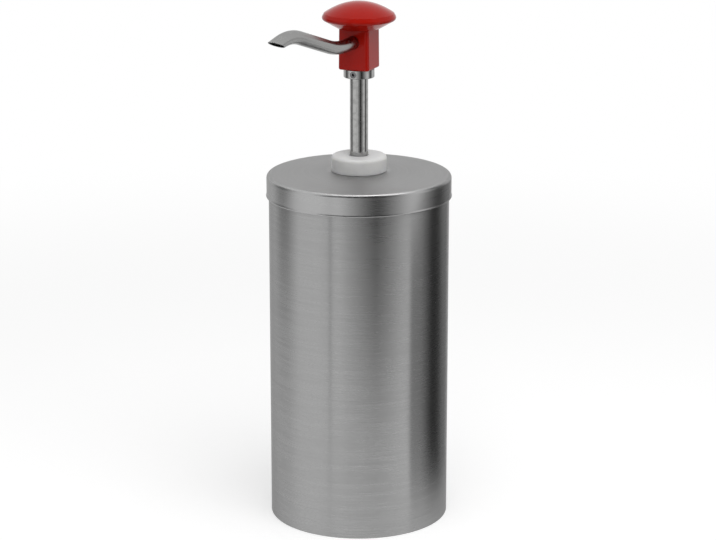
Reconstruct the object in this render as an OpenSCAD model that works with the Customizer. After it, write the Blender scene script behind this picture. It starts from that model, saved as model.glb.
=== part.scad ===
// Pump dispenser for thick sauces. A round steel container stands on a worktop, and a
// push-over lid carries a plunger pump. The plunger rises out of a plastic clamp nut and
// ends in a red head with a mushroom knob and a bent steel spout.
// Lengths are in millimetres. The origin is the centre of the foot, +Z is up, and the
// spout points along -Y.

/* [Container] */
// Outside diameter of the container
body_d = 145; // [120:1:170]
// Height of the container's rim above the worktop
body_h = 284; // [270:1:340]
// Thickness of the container's sheet
body_sheet = 0.8; // [0.6:0.1:1.2]
// Outside radius of the turned-in rim
rim_bend_r = 1.6; // [1.4:0.1:2]
// Width of the flat lip on which the lid rests
rim_lip_w = 2.4; // [1.5:0.1:4]
// Rounding of the wall's lower edge
foot_edge_r = 0.4; // [0.2:0.1:0.6]
// Thickness of the base's sheet
base_sheet = 0.8; // [0.6:0.1:1.2]
// Height of the base's upturned flange
base_flange_h = 8; // [5:0.5:12]
// Outside radius where the base turns up into its flange
base_bend_r = 1.4; // [1.3:0.1:2]
// Width of the flat ring that stands on the worktop
base_ring_w = 8.5; // [6:0.5:12]
// Width of the slope between the ring and the raised middle
base_slope_w = 4; // [3:0.5:6]
// Height of the raised middle of the base
base_rise = 1.5; // [0.5:0.1:2.5]

/* [Lid] */
// Gap between the container and the lid's skirt, on the radius
lid_gap = 0.95; // [0.6:0.05:1.5]
// Thickness of the lid's sheet
lid_sheet = 0.8; // [0.6:0.1:1]
// Height of the lid at its skirt
lid_skirt_h = 18; // [12:0.5:26]
// Outside radius of the lid's edge
lid_edge_r = 3; // [2.4:0.1:3.6]
// Diameter of the small bead along the skirt's lower edge
lid_bead_d = 1.6; // [1.2:0.1:2]
// Height of the shallow crown above the lid's rim
crown_rise = 2.6; // [1:0.1:6]
// Radius of the flat seat in the middle of the crown
crown_seat_r = 26; // [25:0.5:30]
// Width of the flat band between the crown and the lid's edge
crown_rim_w = 5.25; // [5:0.25:8]
// Play between the pump's neck and the hole in the lid, on the radius
lid_hole_gap = 0.4; // [0.2:0.05:0.6]

/* [Clamp nut] */
// Diameter of the plastic clamp nut
nut_d = 44.4; // [42:0.1:50]
// Height of the clamp nut
nut_h = 12.8; // [11:0.1:16]
// Thickness of the nut's top wall
nut_top_t = 3; // [2:0.1:4]
// Rounding of the nut's upper edge
nut_edge_r = 1.6; // [0.8:0.1:2.4]
// Play between the rod and the hole in the nut, on the radius
nut_rod_gap = 0.6; // [0.4:0.05:1]
// Radial room between a male and a female thread, which are drawn as plain cylinders
thread_gap = 0.1; // [0.05:0.01:0.15]

/* [Pump cylinder] */
// Bore of the pump cylinder
bore_d = 28; // [26:0.5:30]
// Wall of the pump cylinder
cyl_wall = 3; // [2.5:0.1:3.5]
// Diameter of the flange that is drawn up against the lid
flange_d = 45; // [43:0.5:50]
// Thickness of that flange
flange_t = 3.5; // [3:0.1:5]
// Thickness of the gasket between flange and lid
gasket_t = 1.5; // [1:0.1:2]
// Travel of the plunger from rest to its lower stop
stroke = 63; // [40:1:70]
// Room left at either end of the travel
stop_gap = 0.1; // [0.05:0.05:0.3]

/* [Guide bush] */
// Length of the bush inside the cylinder
bush_len = 20; // [16:0.5:24]
// Thickness of the bush's collar, which the nut holds down
bush_collar_t = 1.5; // [1:0.1:2]
// Play between the bush and the cylinder, on the radius
bush_gap = 0.1; // [0.05:0.01:0.15]
// Running play between the rod and the bush, on the radius
rod_gap = 0.05; // [0.02:0.01:0.09]
// Thickness of the ring that wipes the rod
wiper_d = 2.4; // [2:0.1:2.6]
// Thickness of the ring that seals the bush
bush_seal_d = 2; // [1.6:0.1:2.2]
// Play left round a sealing ring in its groove
ring_gap = 0.03; // [0.02:0.01:0.05]
// Share of the bush's length at which the wiper ring lies, from its lower end
wiper_share = 0.72; // [0.66:0.01:0.78]
// Share of the bush's length at which the outer ring lies, from its lower end
bush_seal_share = 0.3; // [0.2:0.01:0.4]

/* [Piston rod] */
// Outside diameter of the hollow rod
rod_d = 14.5; // [13.5:0.1:15]
// Wall of the rod
rod_wall = 1.5; // [1.2:0.1:1.8]
// Depth to which the rod is screwed into the piston
rod_in_piston = 12; // [10:0.5:14]
// Depth to which the rod is screwed into the head
rod_in_head = 14; // [12:0.5:15]

/* [Piston] */
// Play between the piston and the bore, on the radius
piston_gap = 0.1; // [0.05:0.01:0.15]
// Thickness of the piston's bottom wall below the valve seat
piston_floor_t = 3; // [2.5:0.1:4]
// Thickness of the two sealing rings
piston_ring_d = 3; // [2.6:0.1:3.2]
// Distance from either end of the piston to the middle of the nearer ring
piston_ring_inset = 4.2; // [3.5:0.1:4.5]
// Diameter of the delivery valve's ball
delivery_ball_d = 10; // [9:0.1:10.4]
// Diameter of the chamber round that ball
delivery_chamber_d = 12.6; // [12:0.1:13]
// Diameter of the inlet below that ball
delivery_inlet_d = 6.6; // [6:0.1:6.8]
// Lift of either valve ball
ball_lift = 3; // [2:0.1:4]
// Diameter of the pins that hold the balls in
ball_pin_d = 2; // [1.6:0.1:2.4]
// Space between the delivery pin and the end of the rod
pin_headroom = 1.2; // [1:0.1:2]

/* [Return spring] */
// Outside diameter of the spring
spring_d = 25.2; // [23:0.1:25.6]
// Diameter of the spring's wire
wire_d = 1.6; // [1.2:0.1:1.8]
// Number of active turns
active_turns = 9; // [8:1:11]
// Length of the spring when the plunger is down
spring_pressed_len = 24; // [22.5:0.5:30]
// Thickness of the washer between piston and spring
washer_t = 1; // [0.8:0.1:1.5]
// Diameter of that washer
washer_d = 27; // [25.6:0.1:27.4]
// Bore of that washer
washer_bore_d = 12; // [9:0.5:16]
// Gap between closed turns of the spring
coil_gap = 0.5; // [0.45:0.05:0.7]

/* [Foot valve] */
// Length of the foot valve's plug inside the cylinder
plug_len = 14; // [13.5:0.5:18]
// Height of the foot valve's collar below the cylinder
foot_collar_h = 8; // [6:0.5:12]
// Length of the nipple inside the suction tube
nipple_len = 14; // [10:0.5:20]
// Diameter of the foot valve's ball
foot_ball_d = 11; // [10:0.1:11.4]
// Diameter of the chamber round that ball
foot_chamber_d = 13.8; // [13:0.1:14.4]
// Diameter of the inlet below that ball
foot_inlet_d = 7.4; // [6.6:0.1:7.6]
// Distance from the plug's top to the middle of its pin
foot_pin_inset = 3; // [2.4:0.1:3.2]
// Thickness of the plug's sealing ring
foot_ring_d = 2.4; // [2:0.1:2.6]
// Height of that ring above the cylinder's lower end
foot_ring_z = 4; // [3:0.1:5]

/* [Suction tube] */
// Outside diameter of the suction tube
suction_d = 20; // [18:0.5:24]
// Wall of the suction tube
suction_wall = 1.5; // [1:0.1:2]
// Height of the tube's open end above the container's base
suction_floor_gap = 6; // [4:0.5:12]
// Width of the notches in the open end
notch_w = 5; // [4:0.5:7]
// Height of those notches
notch_h = 6; // [4:0.5:10]

/* [Stop collar] */
// Diameter of the steel collar below the head
collar_d = 24.6; // [22:0.1:26]
// Height of that collar
collar_h = 7; // [6:0.5:9]
// Diameter of its grub screw
grub_d = 5; // [4:0.5:5.5]
// Width across the flats of the screw's socket
grub_socket_af = 2.5; // [2:0.5:3]
// Depth of that socket
grub_socket_depth = 2.2; // [1.5:0.1:2.5]
// Distance that the screw is sunk below the collar's surface
grub_sink = 0.4; // [0.2:0.1:0.8]

/* [Head block] */
// Width of the square head at its lower end
block_w = 25.9; // [25:0.1:28]
// Height of the head
block_h = 32.3; // [31:0.1:36]
// Radius of its upright corners
block_corner_r = 3; // [2.5:0.1:4]
// Rounding of its lower edges
block_edge_r = 1.3; // [0.8:0.1:2]
// Amount by which each side leans in towards the top
block_draft = 0.25; // [0.1:0.05:0.5]
// Diameter of the upright passage in the head
passage_d = 9; // [8:0.1:9.5]
// Height of the spout above the head's lower end
spout_rise = 22.4; // [22:0.1:24]
// Height of the passage above the spout's middle line
passage_over = 4.8; // [4.5:0.1:5]
// Diameter of the screwed boss under the knob
boss_d = 16; // [14:0.5:18]
// Height of that boss
boss_h = 8; // [6:0.5:9]
// Thickness of the ring that seals the rod in the head
head_ring_d = 2; // [1.6:0.1:2.2]
// Height of that ring above the head's lower end
head_ring_z = 9; // [7:0.5:10]

/* [Knob] */
// Diameter of the mushroom knob
knob_d = 58.7; // [54:0.1:64]
// Radius of the knob's rim
knob_rim_r = 3.4; // [2:0.1:4]
// Slope of the dome where it meets the rim, in degrees
dome_slope = 33.9; // [28:0.1:40]
// Slope of the underside, in degrees
under_slope = 29.5; // [20:0.1:35]
// Radius of the knob where it sits on the head
knob_neck_r = 17; // [12:0.1:18]
// Space above the boss inside the knob
boss_headroom = 0.5; // [0.3:0.1:1]

/* [Spout] */
// Outside diameter of the spout
spout_d = 10.5; // [9:0.1:11]
// Wall of the spout
spout_wall = 1; // [0.8:0.1:1.4]
// Depth to which the spout is screwed into the head
spout_in_head = 8; // [7:0.1:8.1]
// Level length between the head and the first bend
spout_level_len = 12.8; // [10:0.1:25]
// Radius of the first bend, measured to the tube's middle line
spout_up_r = 128; // [60:1:160]
// Angle by which the spout climbs, in degrees
spout_climb = 16.3; // [8:0.1:24]
// Length of the climbing stretch
spout_climb_len = 55.5; // [30:0.1:80]
// Radius of the second bend, measured to the tube's middle line
spout_down_r = 85; // [50:0.5:120]
// Angle by which the spout's end points down, in degrees
spout_drop = 8.6; // [0:0.1:20]
// Straight length from the second bend to the middle of the cut
spout_end_len = 4.9; // [2:0.1:12]
// Slope of the cut's outward direction below the horizontal, in degrees
spout_cut_slope = 69.1; // [50:0.1:74]
// Thickness of the ring that seals the spout in the head
spout_ring_d = 1.6; // [1.2:0.1:1.8]
// Distance from the head's face to the middle of that ring
spout_ring_inset = 3; // [2.6:0.1:3.6]

/* [Hidden] */

// Facets of a round shape, of a ring's section and of a hull's corners
$fn = 96;
section_fn = 32;
corner_fn = 32;
// Steps along a rounded corner and along a long curve of an outline
corner_steps = 8;
curve_steps = 20;
// Overrun of a cut past the face that it opens
overrun = 1;

// Colours
steel_colour = [0.66, 0.66, 0.67];
bright_colour = [0.74, 0.74, 0.75];
nylon_colour = [0.9, 0.9, 0.89];
red_colour = [0.72, 0.07, 0.06];
rubber_colour = [0.12, 0.12, 0.13];

// Container, from the foot to the rim
body_r = body_d / 2;
body_in_r = body_r - body_sheet;
rim_bend_mid_r = body_r - rim_bend_r;
rim_lip_in_r = rim_bend_mid_r - rim_lip_w;
base_bend_mid_r = body_in_r - base_bend_r;
base_ring_in_r = base_bend_mid_r - base_ring_w;
base_slope_in_r = base_ring_in_r - base_slope_w;
base_inside_z = base_rise + base_sheet;

// Lid
lid_r = body_r + lid_gap + lid_sheet;
lid_rim_z = body_h + lid_sheet;
lid_edge_mid_r = lid_r - lid_edge_r;
crown_foot_r = lid_edge_mid_r - crown_rim_w;
lid_seat_z = lid_rim_z + crown_rise;
lid_seat_under_z = lid_seat_z - lid_sheet;
lid_skirt_z = lid_rim_z - lid_skirt_h;

// Cylinder neck, gasket and nut
bore_r = bore_d / 2;
cyl_r = bore_r + cyl_wall;
lid_hole_r = cyl_r + lid_hole_gap;
flange_z = lid_seat_under_z - gasket_t - flange_t;
nut_z = lid_seat_z;
nut_top_z = nut_z + nut_h;
nut_inside_z = nut_top_z - nut_top_t;
neck_top_z = nut_inside_z - bush_collar_t;

// Guide bush
rod_r = rod_d / 2;
bush_z = neck_top_z - bush_len;
bush_r = bore_r - bush_gap;
bush_collar_r = cyl_r - bush_gap;
wiper_r = wiper_d / 2;
wiper_mid_r = rod_r + ring_gap + wiper_r;
wiper_z = bush_z + bush_len * wiper_share;
bush_seal_r = bush_seal_d / 2;
bush_seal_mid_r = bore_r - ring_gap - bush_seal_r;
bush_seal_z = bush_z + bush_len * bush_seal_share;

// Piston with its valve. A ball rests on a cone of 45 degrees, so the middle of the ball
// stands sqrt(2) ball radii above the cone's point.
seat_share = sqrt(2);
piston_r = bore_r - piston_gap;
piston_top_z = bush_z - stop_gap;
delivery_ball_r = delivery_ball_d / 2;
delivery_inlet_r = delivery_inlet_d / 2;
delivery_chamber_r = delivery_chamber_d / 2;
delivery_cone_h = delivery_chamber_r - delivery_inlet_r;
ball_pin_r = ball_pin_d / 2;
delivery_ball_rise = delivery_ball_r * seat_share - delivery_inlet_r + ring_gap;
delivery_pin_rise = delivery_ball_rise + delivery_ball_r + ball_lift + ball_pin_r + stop_gap;
delivery_chamber_h = delivery_pin_rise + ball_pin_r + pin_headroom;
piston_len = piston_floor_t + delivery_chamber_h + rod_in_piston;
piston_z = piston_top_z - piston_len;
delivery_seat_z = piston_z + piston_floor_t;
delivery_ball_z = delivery_seat_z + delivery_ball_rise;
delivery_pin_z = delivery_seat_z + delivery_pin_rise;
rod_z = delivery_seat_z + delivery_chamber_h;
piston_ring_r = piston_ring_d / 2;
piston_ring_mid_r = bore_r - ring_gap - piston_ring_r;
piston_ring_places = [piston_z + piston_ring_inset, piston_top_z - piston_ring_inset];

// Washer, spring and foot valve, from the piston downwards
washer_top_z = piston_z - rod_gap;
washer_z = washer_top_z - washer_t;
spring_len = spring_pressed_len + stroke;
spring_z = washer_z - spring_len;
plug_top_z = spring_z;
cyl_end_z = plug_top_z - plug_len;
foot_collar_z = cyl_end_z - foot_collar_h;
nipple_z = foot_collar_z - nipple_len;
plug_r = bore_r - bush_gap;
foot_ball_r = foot_ball_d / 2;
foot_inlet_r = foot_inlet_d / 2;
foot_chamber_r = foot_chamber_d / 2;
foot_cone_h = foot_chamber_r - foot_inlet_r;
foot_pin_z = plug_top_z - foot_pin_inset;
foot_ball_z = foot_pin_z - ball_pin_r - ball_lift - stop_gap - foot_ball_r;
foot_seat_z = foot_ball_z - ring_gap - foot_ball_r * seat_share + foot_inlet_r;
foot_ring_r = foot_ring_d / 2;
foot_ring_mid_r = bore_r - ring_gap - foot_ring_r;

// Suction tube
suction_r = suction_d / 2;
suction_in_r = suction_r - suction_wall;
nipple_r = suction_in_r - thread_gap;
suction_z = base_inside_z + suction_floor_gap;

// Spring wire, as a middle line of points. One turn at each end lies closed.
spring_mid_r = (spring_d - wire_d) / 2;
wire_r = wire_d / 2;
wire_sides = 6;
turn_rings = 12;
closed_pitch = wire_d + coil_gap;
spring_turns = active_turns + 2;
spring_rings = spring_turns * turn_rings;
spring_line_len = spring_len - wire_d - 2 * ring_gap;
active_pitch = (spring_line_len - 2 * closed_pitch) / active_turns;
function turn_rise(turn) =
    closed_pitch * min(turn, 1)
    + active_pitch * max(min(turn - 1, active_turns), 0)
    + closed_pitch * max(turn - 1 - active_turns, 0);
spring_line = [
    for (i = [0:spring_rings])
        let (turn = i / turn_rings)
        [spring_mid_r * cos(360 * turn), spring_mid_r * sin(360 * turn), wire_r + turn_rise(turn)]
];
spring_steps = [
    for (i = [0:spring_rings - turn_rings], k = [-1:1])
        let (j = i + turn_rings + k)
        if (j <= spring_rings) norm(spring_line[j] - spring_line[i])
];
echo(least_gap_between_coils = min(spring_steps) - wire_d);

// Collar, head and knob, from the nut upwards
collar_r = collar_d / 2;
collar_z = nut_top_z + stroke + stop_gap;
block_z = collar_z + collar_h;
block_top_z = block_z + block_h;
rod_top_z = block_z + rod_in_head;
rod_len = rod_top_z - rod_z;
rod_in_r = rod_r - rod_wall;
passage_r = passage_d / 2;
spout_z = block_z + spout_rise;
head_ring_r = head_ring_d / 2;
head_ring_mid_r = rod_r + thread_gap + head_ring_r - ring_gap;
grub_r = grub_d / 2;
grub_z = collar_z + collar_h / 2;
grub_end_r = collar_r - grub_sink;
boss_r = boss_d / 2;
block_half_w = block_w / 2;
// Depth of the face at the spout's height, where the sides already lean in
spout_face_y = block_half_w - block_draft * spout_rise / block_h;

knob_r = knob_d / 2;
knob_rim_mid_r = knob_r - knob_rim_r;
dome_foot_r = knob_rim_mid_r + knob_rim_r * sin(dome_slope);
dome_rise = dome_foot_r * tan(dome_slope) / 2;
under_foot_r = knob_rim_mid_r + knob_rim_r * sin(under_slope);
under_rise = (under_foot_r - knob_neck_r) * tan(under_slope);
knob_rim_z = block_top_z + under_rise + knob_rim_r * cos(under_slope);
dome_foot_z = knob_rim_z + knob_rim_r * cos(dome_slope);

// Spout, as a chain of points with the distance out from the head's face and the height
// above the spout's level stretch
spout_r = spout_d / 2;
spout_in_r = spout_r - spout_wall;
spout_turn = spout_climb + spout_drop;
spout_cut_tilt = spout_cut_slope - spout_drop;
spout_tip_len = spout_end_len + spout_r * tan(spout_cut_tilt) + overrun;
spout_cut_size = 4 * spout_d;
// The straight stretches run a little way into the bends, whose wall is a hair thicker,
// so that the pieces join as one solid
spout_lap = 0.3;
spout_swell = 0.02;
up_end = [spout_level_len, 0] + spout_up_r * [sin(spout_climb), 1 - cos(spout_climb)];
down_start = up_end + spout_climb_len * [cos(spout_climb), sin(spout_climb)];
down_mid = down_start + spout_down_r * [sin(spout_climb), -cos(spout_climb)];
down_end = down_mid + spout_down_r * [sin(spout_drop), cos(spout_drop)];
cut_mid = down_end + spout_end_len * [cos(spout_drop), -sin(spout_drop)];
spout_ring_r = spout_ring_d / 2;
spout_ring_mid_r = spout_r + thread_gap + spout_ring_r - ring_gap;
spout_ring_y = spout_face_y - spout_ring_inset;

// Points of an arc round [x, y] from angle a to angle b
function arc(x, y, r, a, b, steps = corner_steps) =
    [for (i = [0:steps]) let (t = a + (b - a) * i / steps) [x + r * cos(t), y + r * sin(t)]];

// Height of the lid's crown at radius r, as a share of its full rise
function crown_share(r) = (1 + cos(180 * (r - crown_seat_r) / (crown_foot_r - crown_seat_r))) / 2;

// Points of the crown from its seat to its foot, raised by z
function crown_line(z) = [
    for (i = [0:curve_steps])
        let (r = crown_seat_r + (crown_foot_r - crown_seat_r) * i / curve_steps)
        [r, z + crown_rise * crown_share(r)]
];

// A list with its order turned round
function reversed(list) = [for (i = [len(list) - 1:-1:0]) list[i]];

// A disc or tube with its upper outer edge rounded
module rounded_tube(in_r, out_r, z, h, edge_r) {
    rotate_extrude() {
        translate([in_r, z]) square([out_r - in_r - edge_r, h]);
        translate([in_r, z]) square([out_r - in_r, h - edge_r]);
        translate([out_r - edge_r, z + h - edge_r]) circle(edge_r, $fn = section_fn);
    }
}

// A plain tube
module tube(in_r, out_r, z, h) {
    rotate_extrude() translate([in_r, z]) square([out_r - in_r, h]);
}

// A sealing ring of round section
module seal_ring(mid_r, ring_r, z) {
    rotate_extrude() translate([mid_r, z]) circle(ring_r, $fn = section_fn);
}

// The groove for a sealing ring, from radius in_r to radius out_r
module ring_groove(in_r, out_r, ring_r, z) {
    groove_half_h = ring_r + ring_gap;
    tube(in_r, out_r, z - groove_half_h, 2 * groove_half_h);
}

// A round hole about the Z axis
module bore(r, z, h) {
    translate([0, 0, z]) cylinder(h = h, r = r);
}

// A cone of 45 degrees that widens upwards from r1 to r2
module seat_cone(r1, r2, z) {
    translate([0, 0, z]) cylinder(h = r2 - r1, r1 = r1, r2 = r2);
}

// A pin across the axis
module cross_pin(r, half_len, z) {
    translate([-half_len, 0, z]) rotate([0, 90, 0]) cylinder(h = 2 * half_len, r = r);
}

module container_wall() {
    outline = concat(
        arc(body_r - foot_edge_r, foot_edge_r, foot_edge_r, -90, 0),
        arc(rim_bend_mid_r, body_h - rim_bend_r, rim_bend_r, 0, 90),
        [[rim_lip_in_r, body_h], [rim_lip_in_r, body_h - body_sheet]],
        arc(rim_bend_mid_r, body_h - rim_bend_r, rim_bend_r - body_sheet, 90, 0),
        [[body_in_r, 0]]
    );
    color(steel_colour) rotate_extrude() polygon(outline);
}

module container_base() {
    outline = concat(
        [[0, base_rise], [base_slope_in_r, base_rise], [base_ring_in_r, 0]],
        arc(base_bend_mid_r, base_bend_r, base_bend_r, -90, 0),
        [[body_in_r, base_flange_h], [body_in_r - base_sheet, base_flange_h]],
        arc(base_bend_mid_r, base_bend_r, base_bend_r - base_sheet, 0, -90),
        [[base_ring_in_r, base_sheet], [base_slope_in_r, base_inside_z], [0, base_inside_z]]
    );
    color(steel_colour) rotate_extrude() polygon(outline);
}

module lid() {
    bead_r = lid_bead_d / 2;
    sheet_mid_r = lid_r - lid_sheet / 2;
    // The bead's arc starts and ends where it meets the two faces of the sheet
    bead_start = acos(lid_sheet / lid_bead_d);
    outline = concat(
        [[lid_hole_r, lid_seat_z]],
        crown_line(lid_rim_z),
        arc(lid_edge_mid_r, lid_rim_z - lid_edge_r, lid_edge_r, 90, 0),
        arc(sheet_mid_r, lid_skirt_z + bead_r, bead_r, bead_start, -180 - bead_start, 2 * corner_steps),
        arc(lid_edge_mid_r, lid_rim_z - lid_edge_r, lid_edge_r - lid_sheet, 0, 90),
        reversed(crown_line(body_h)),
        [[lid_hole_r, lid_seat_under_z]]
    );
    color(steel_colour) rotate_extrude() polygon(outline);
}

module lid_gasket() {
    color(rubber_colour) tube(lid_hole_r, flange_d / 2, lid_seat_under_z - gasket_t, gasket_t);
}

module clamp_nut() {
    color(nylon_colour) difference() {
        rounded_tube(rod_r + nut_rod_gap, nut_d / 2, nut_z, nut_h, nut_edge_r);
        bore(cyl_r + thread_gap, nut_z - overrun, nut_inside_z - nut_z + overrun);
    }
}

module guide_bush() {
    color(nylon_colour) difference() {
        union() {
            bore(bush_r, bush_z, bush_len + bush_collar_t);
            bore(bush_collar_r, neck_top_z, bush_collar_t);
        }
        bore(rod_r + rod_gap, bush_z - overrun, bush_len + bush_collar_t + 2 * overrun);
        ring_groove(rod_r, wiper_mid_r + wiper_r + ring_gap, wiper_r, wiper_z);
        ring_groove(bush_seal_mid_r - bush_seal_r - ring_gap, bore_r, bush_seal_r, bush_seal_z);
    }
}

module rod_wiper() {
    color(rubber_colour) seal_ring(wiper_mid_r, wiper_r, wiper_z);
}

module bush_seal() {
    color(rubber_colour) seal_ring(bush_seal_mid_r, bush_seal_r, bush_seal_z);
}

module pump_cylinder() {
    color(nylon_colour) difference() {
        union() {
            bore(cyl_r, cyl_end_z, neck_top_z - cyl_end_z);
            bore(flange_d / 2, flange_z, flange_t);
        }
        bore(bore_r, cyl_end_z - overrun, neck_top_z - cyl_end_z + 2 * overrun);
    }
}

module foot_valve_body() {
    color(nylon_colour) difference() {
        union() {
            bore(plug_r, foot_collar_z, plug_top_z - foot_collar_z);
            bore(cyl_r, foot_collar_z, foot_collar_h);
            bore(nipple_r, nipple_z, nipple_len + foot_collar_h);
        }
        bore(foot_inlet_r, nipple_z - overrun, foot_seat_z - nipple_z + 2 * overrun);
        seat_cone(foot_inlet_r, foot_chamber_r, foot_seat_z);
        bore(foot_chamber_r, foot_seat_z + foot_cone_h, plug_top_z - foot_seat_z);
        cross_pin(ball_pin_r, bore_r, foot_pin_z);
        ring_groove(foot_ring_mid_r - foot_ring_r - ring_gap, bore_r, foot_ring_r, cyl_end_z + foot_ring_z);
    }
}

module foot_valve_seal() {
    color(rubber_colour) seal_ring(foot_ring_mid_r, foot_ring_r, cyl_end_z + foot_ring_z);
}

module foot_valve_ball() {
    color(bright_colour) translate([0, 0, foot_ball_z]) sphere(foot_ball_r);
}

module foot_ball_pin() {
    color(bright_colour) cross_pin(ball_pin_r, plug_r - bush_gap, foot_pin_z);
}

module suction_tube() {
    notch_len = 2 * (suction_r + overrun);
    color(steel_colour) difference() {
        tube(suction_in_r, suction_r, suction_z, foot_collar_z - suction_z);
        for (turn = [0, 90])
            rotate([0, 0, turn])
                translate([-notch_len / 2, -notch_w / 2, suction_z - overrun])
                    cube([notch_len, notch_w, notch_h + overrun]);
    }
}

// The wire is one closed tube of flat facets. Each ring of points stands upright, square
// to the coil's direction of travel round the axis.
module return_spring() {
    wire_points = [
        for (i = [0:spring_rings], k = [0:wire_sides - 1])
            let (turn = 360 * i / turn_rings, side = 360 * k / wire_sides)
            let (r = spring_mid_r + wire_r * cos(side))
            [r * cos(turn), r * sin(turn), spring_line[i][2] + wire_r * sin(side)]
    ];
    wall_faces = [
        for (i = [0:spring_rings - 1], k = [0:wire_sides - 1])
            let (a = i * wire_sides + k, b = i * wire_sides + (k + 1) % wire_sides)
            for (face = [[a, b, b + wire_sides], [a, b + wire_sides, a + wire_sides]]) face
    ];
    last = spring_rings * wire_sides;
    start_faces = [for (k = [1:wire_sides - 2]) [0, k + 1, k]];
    end_faces = [for (k = [1:wire_sides - 2]) [last, last + k, last + k + 1]];
    color(bright_colour)
        translate([0, 0, spring_z + ring_gap])
            polyhedron(points = wire_points, faces = concat(wall_faces, start_faces, end_faces));
}

module spring_washer() {
    color(bright_colour) tube(washer_bore_d / 2, washer_d / 2, washer_z, washer_t);
}

module piston() {
    color(nylon_colour) difference() {
        bore(piston_r, piston_z, piston_len);
        bore(delivery_inlet_r, piston_z - overrun, piston_floor_t + 2 * overrun);
        seat_cone(delivery_inlet_r, delivery_chamber_r, delivery_seat_z);
        bore(delivery_chamber_r, delivery_seat_z + delivery_cone_h, delivery_chamber_h);
        bore(rod_r + thread_gap, rod_z, rod_in_piston + overrun);
        cross_pin(ball_pin_r, bore_r, delivery_pin_z);
        for (z = piston_ring_places)
            ring_groove(piston_ring_mid_r - piston_ring_r - ring_gap, bore_r, piston_ring_r, z);
    }
}

module piston_rings() {
    color(rubber_colour)
        for (z = piston_ring_places) seal_ring(piston_ring_mid_r, piston_ring_r, z);
}

module delivery_ball() {
    color(bright_colour) translate([0, 0, delivery_ball_z]) sphere(delivery_ball_r);
}

module delivery_ball_pin() {
    color(bright_colour) cross_pin(ball_pin_r, piston_r - bush_gap, delivery_pin_z);
}

module piston_rod() {
    color(bright_colour) tube(rod_in_r, rod_r, rod_z, rod_len);
}

module stop_collar() {
    color(bright_colour) difference() {
        tube(rod_r + rod_gap, collar_r, collar_z, collar_h);
        translate([0, 0, grub_z]) rotate([90, 0, 0]) cylinder(h = collar_r + overrun, r = grub_r + rod_gap);
    }
}

module grub_screw() {
    grub_start_r = rod_r + rod_gap;
    socket_r = grub_socket_af / sqrt(3);
    color(bright_colour) translate([0, 0, grub_z]) rotate([90, 0, 0]) difference() {
        translate([0, 0, grub_start_r]) cylinder(h = grub_end_r - grub_start_r, r = grub_r);
        translate([0, 0, grub_end_r - grub_socket_depth])
            cylinder(h = grub_socket_depth + overrun, r = socket_r, $fn = 6);
    }
}

// The head's body, with round upright corners, round lower edges and sides that lean in
module block_body() {
    low = block_half_w - block_corner_r;
    high = low - block_draft;
    hull() {
        for (x = [-1, 1], y = [-1, 1]) {
            translate([x * low, y * low, block_z + block_edge_r])
                rotate_extrude($fn = corner_fn)
                    translate([block_corner_r - block_edge_r, 0]) circle(block_edge_r, $fn = corner_fn);
            translate([x * high, y * high, block_top_z - block_edge_r])
                cylinder(h = block_edge_r, r = block_corner_r, $fn = corner_fn);
        }
    }
}

module head_block() {
    color(red_colour) difference() {
        union() {
            block_body();
            bore(boss_r, block_top_z - overrun, boss_h + overrun);
        }
        bore(rod_r + thread_gap, block_z - overrun, rod_in_head + overrun);
        bore(passage_r, rod_top_z - overrun, spout_z + passage_over - rod_top_z + overrun);
        ring_groove(rod_r, head_ring_mid_r + head_ring_r + ring_gap, head_ring_r, block_z + head_ring_z);
        translate([0, 0, spout_z]) rotate([90, 0, 0]) {
            cylinder(h = block_half_w, r = spout_in_r);
            translate([0, 0, spout_face_y - spout_in_head])
                cylinder(h = spout_in_head + overrun, r = spout_r + thread_gap);
            ring_groove(spout_r, spout_ring_mid_r + spout_ring_r + ring_gap, spout_ring_r, spout_ring_y);
        }
    }
}

module head_seal() {
    color(rubber_colour) seal_ring(head_ring_mid_r, head_ring_r, block_z + head_ring_z);
}

module push_knob() {
    dome = [
        for (i = [0:curve_steps])
            let (share = i / curve_steps)
            [dome_foot_r * share, dome_foot_z + dome_rise * (1 - share * share)]
    ];
    outline = concat(
        [[0, block_top_z], [knob_neck_r, block_top_z]],
        arc(knob_rim_mid_r, knob_rim_z, knob_rim_r, under_slope - 90, 90 - dome_slope),
        reversed([for (i = [0:curve_steps - 1]) dome[i]])
    );
    color(red_colour) difference() {
        rotate_extrude() polygon(outline);
        bore(boss_r + thread_gap, block_top_z - overrun, boss_h + boss_headroom + overrun);
    }
}

// The spout's wall in section, with both faces moved outwards from the wall by swell
module spout_section(swell) {
    difference() {
        circle(spout_r + swell, $fn = section_fn);
        circle(spout_in_r - swell, $fn = section_fn);
    }
}

// A straight stretch of the spout along X, from start to end
module spout_straight(start, end) {
    translate([start, 0]) rotate([90, 0, 90]) linear_extrude(end - start) spout_section(0);
}

// A bend of the spout about the Z axis
module spout_bend(bend_r, turn) {
    rotate_extrude(angle = turn) translate([bend_r, 0]) spout_section(spout_swell);
}

// The spout before its end is cut, in a flat frame: X is the distance out from the head's
// face and Y the height above the level stretch
module spout_run() {
    spout_straight(-spout_in_head, spout_level_len + spout_lap);
    translate([spout_level_len, spout_up_r]) rotate([0, 0, -90]) spout_bend(spout_up_r, spout_climb);
    translate(up_end) rotate([0, 0, spout_climb]) spout_straight(-spout_lap, spout_climb_len + spout_lap);
    translate(down_mid) rotate([0, 0, 90 - spout_drop]) spout_bend(spout_down_r, spout_turn);
    translate(down_end) rotate([0, 0, -spout_drop]) spout_straight(-spout_lap, spout_tip_len);
}

module spout_tube() {
    color(bright_colour)
        translate([0, -spout_face_y, spout_z]) rotate([90, 0, -90]) difference() {
            spout_run();
            translate(cut_mid) rotate([0, 0, -spout_cut_slope])
                translate([0, -spout_cut_size / 2, -spout_cut_size / 2]) cube(spout_cut_size);
        }
}

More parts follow.
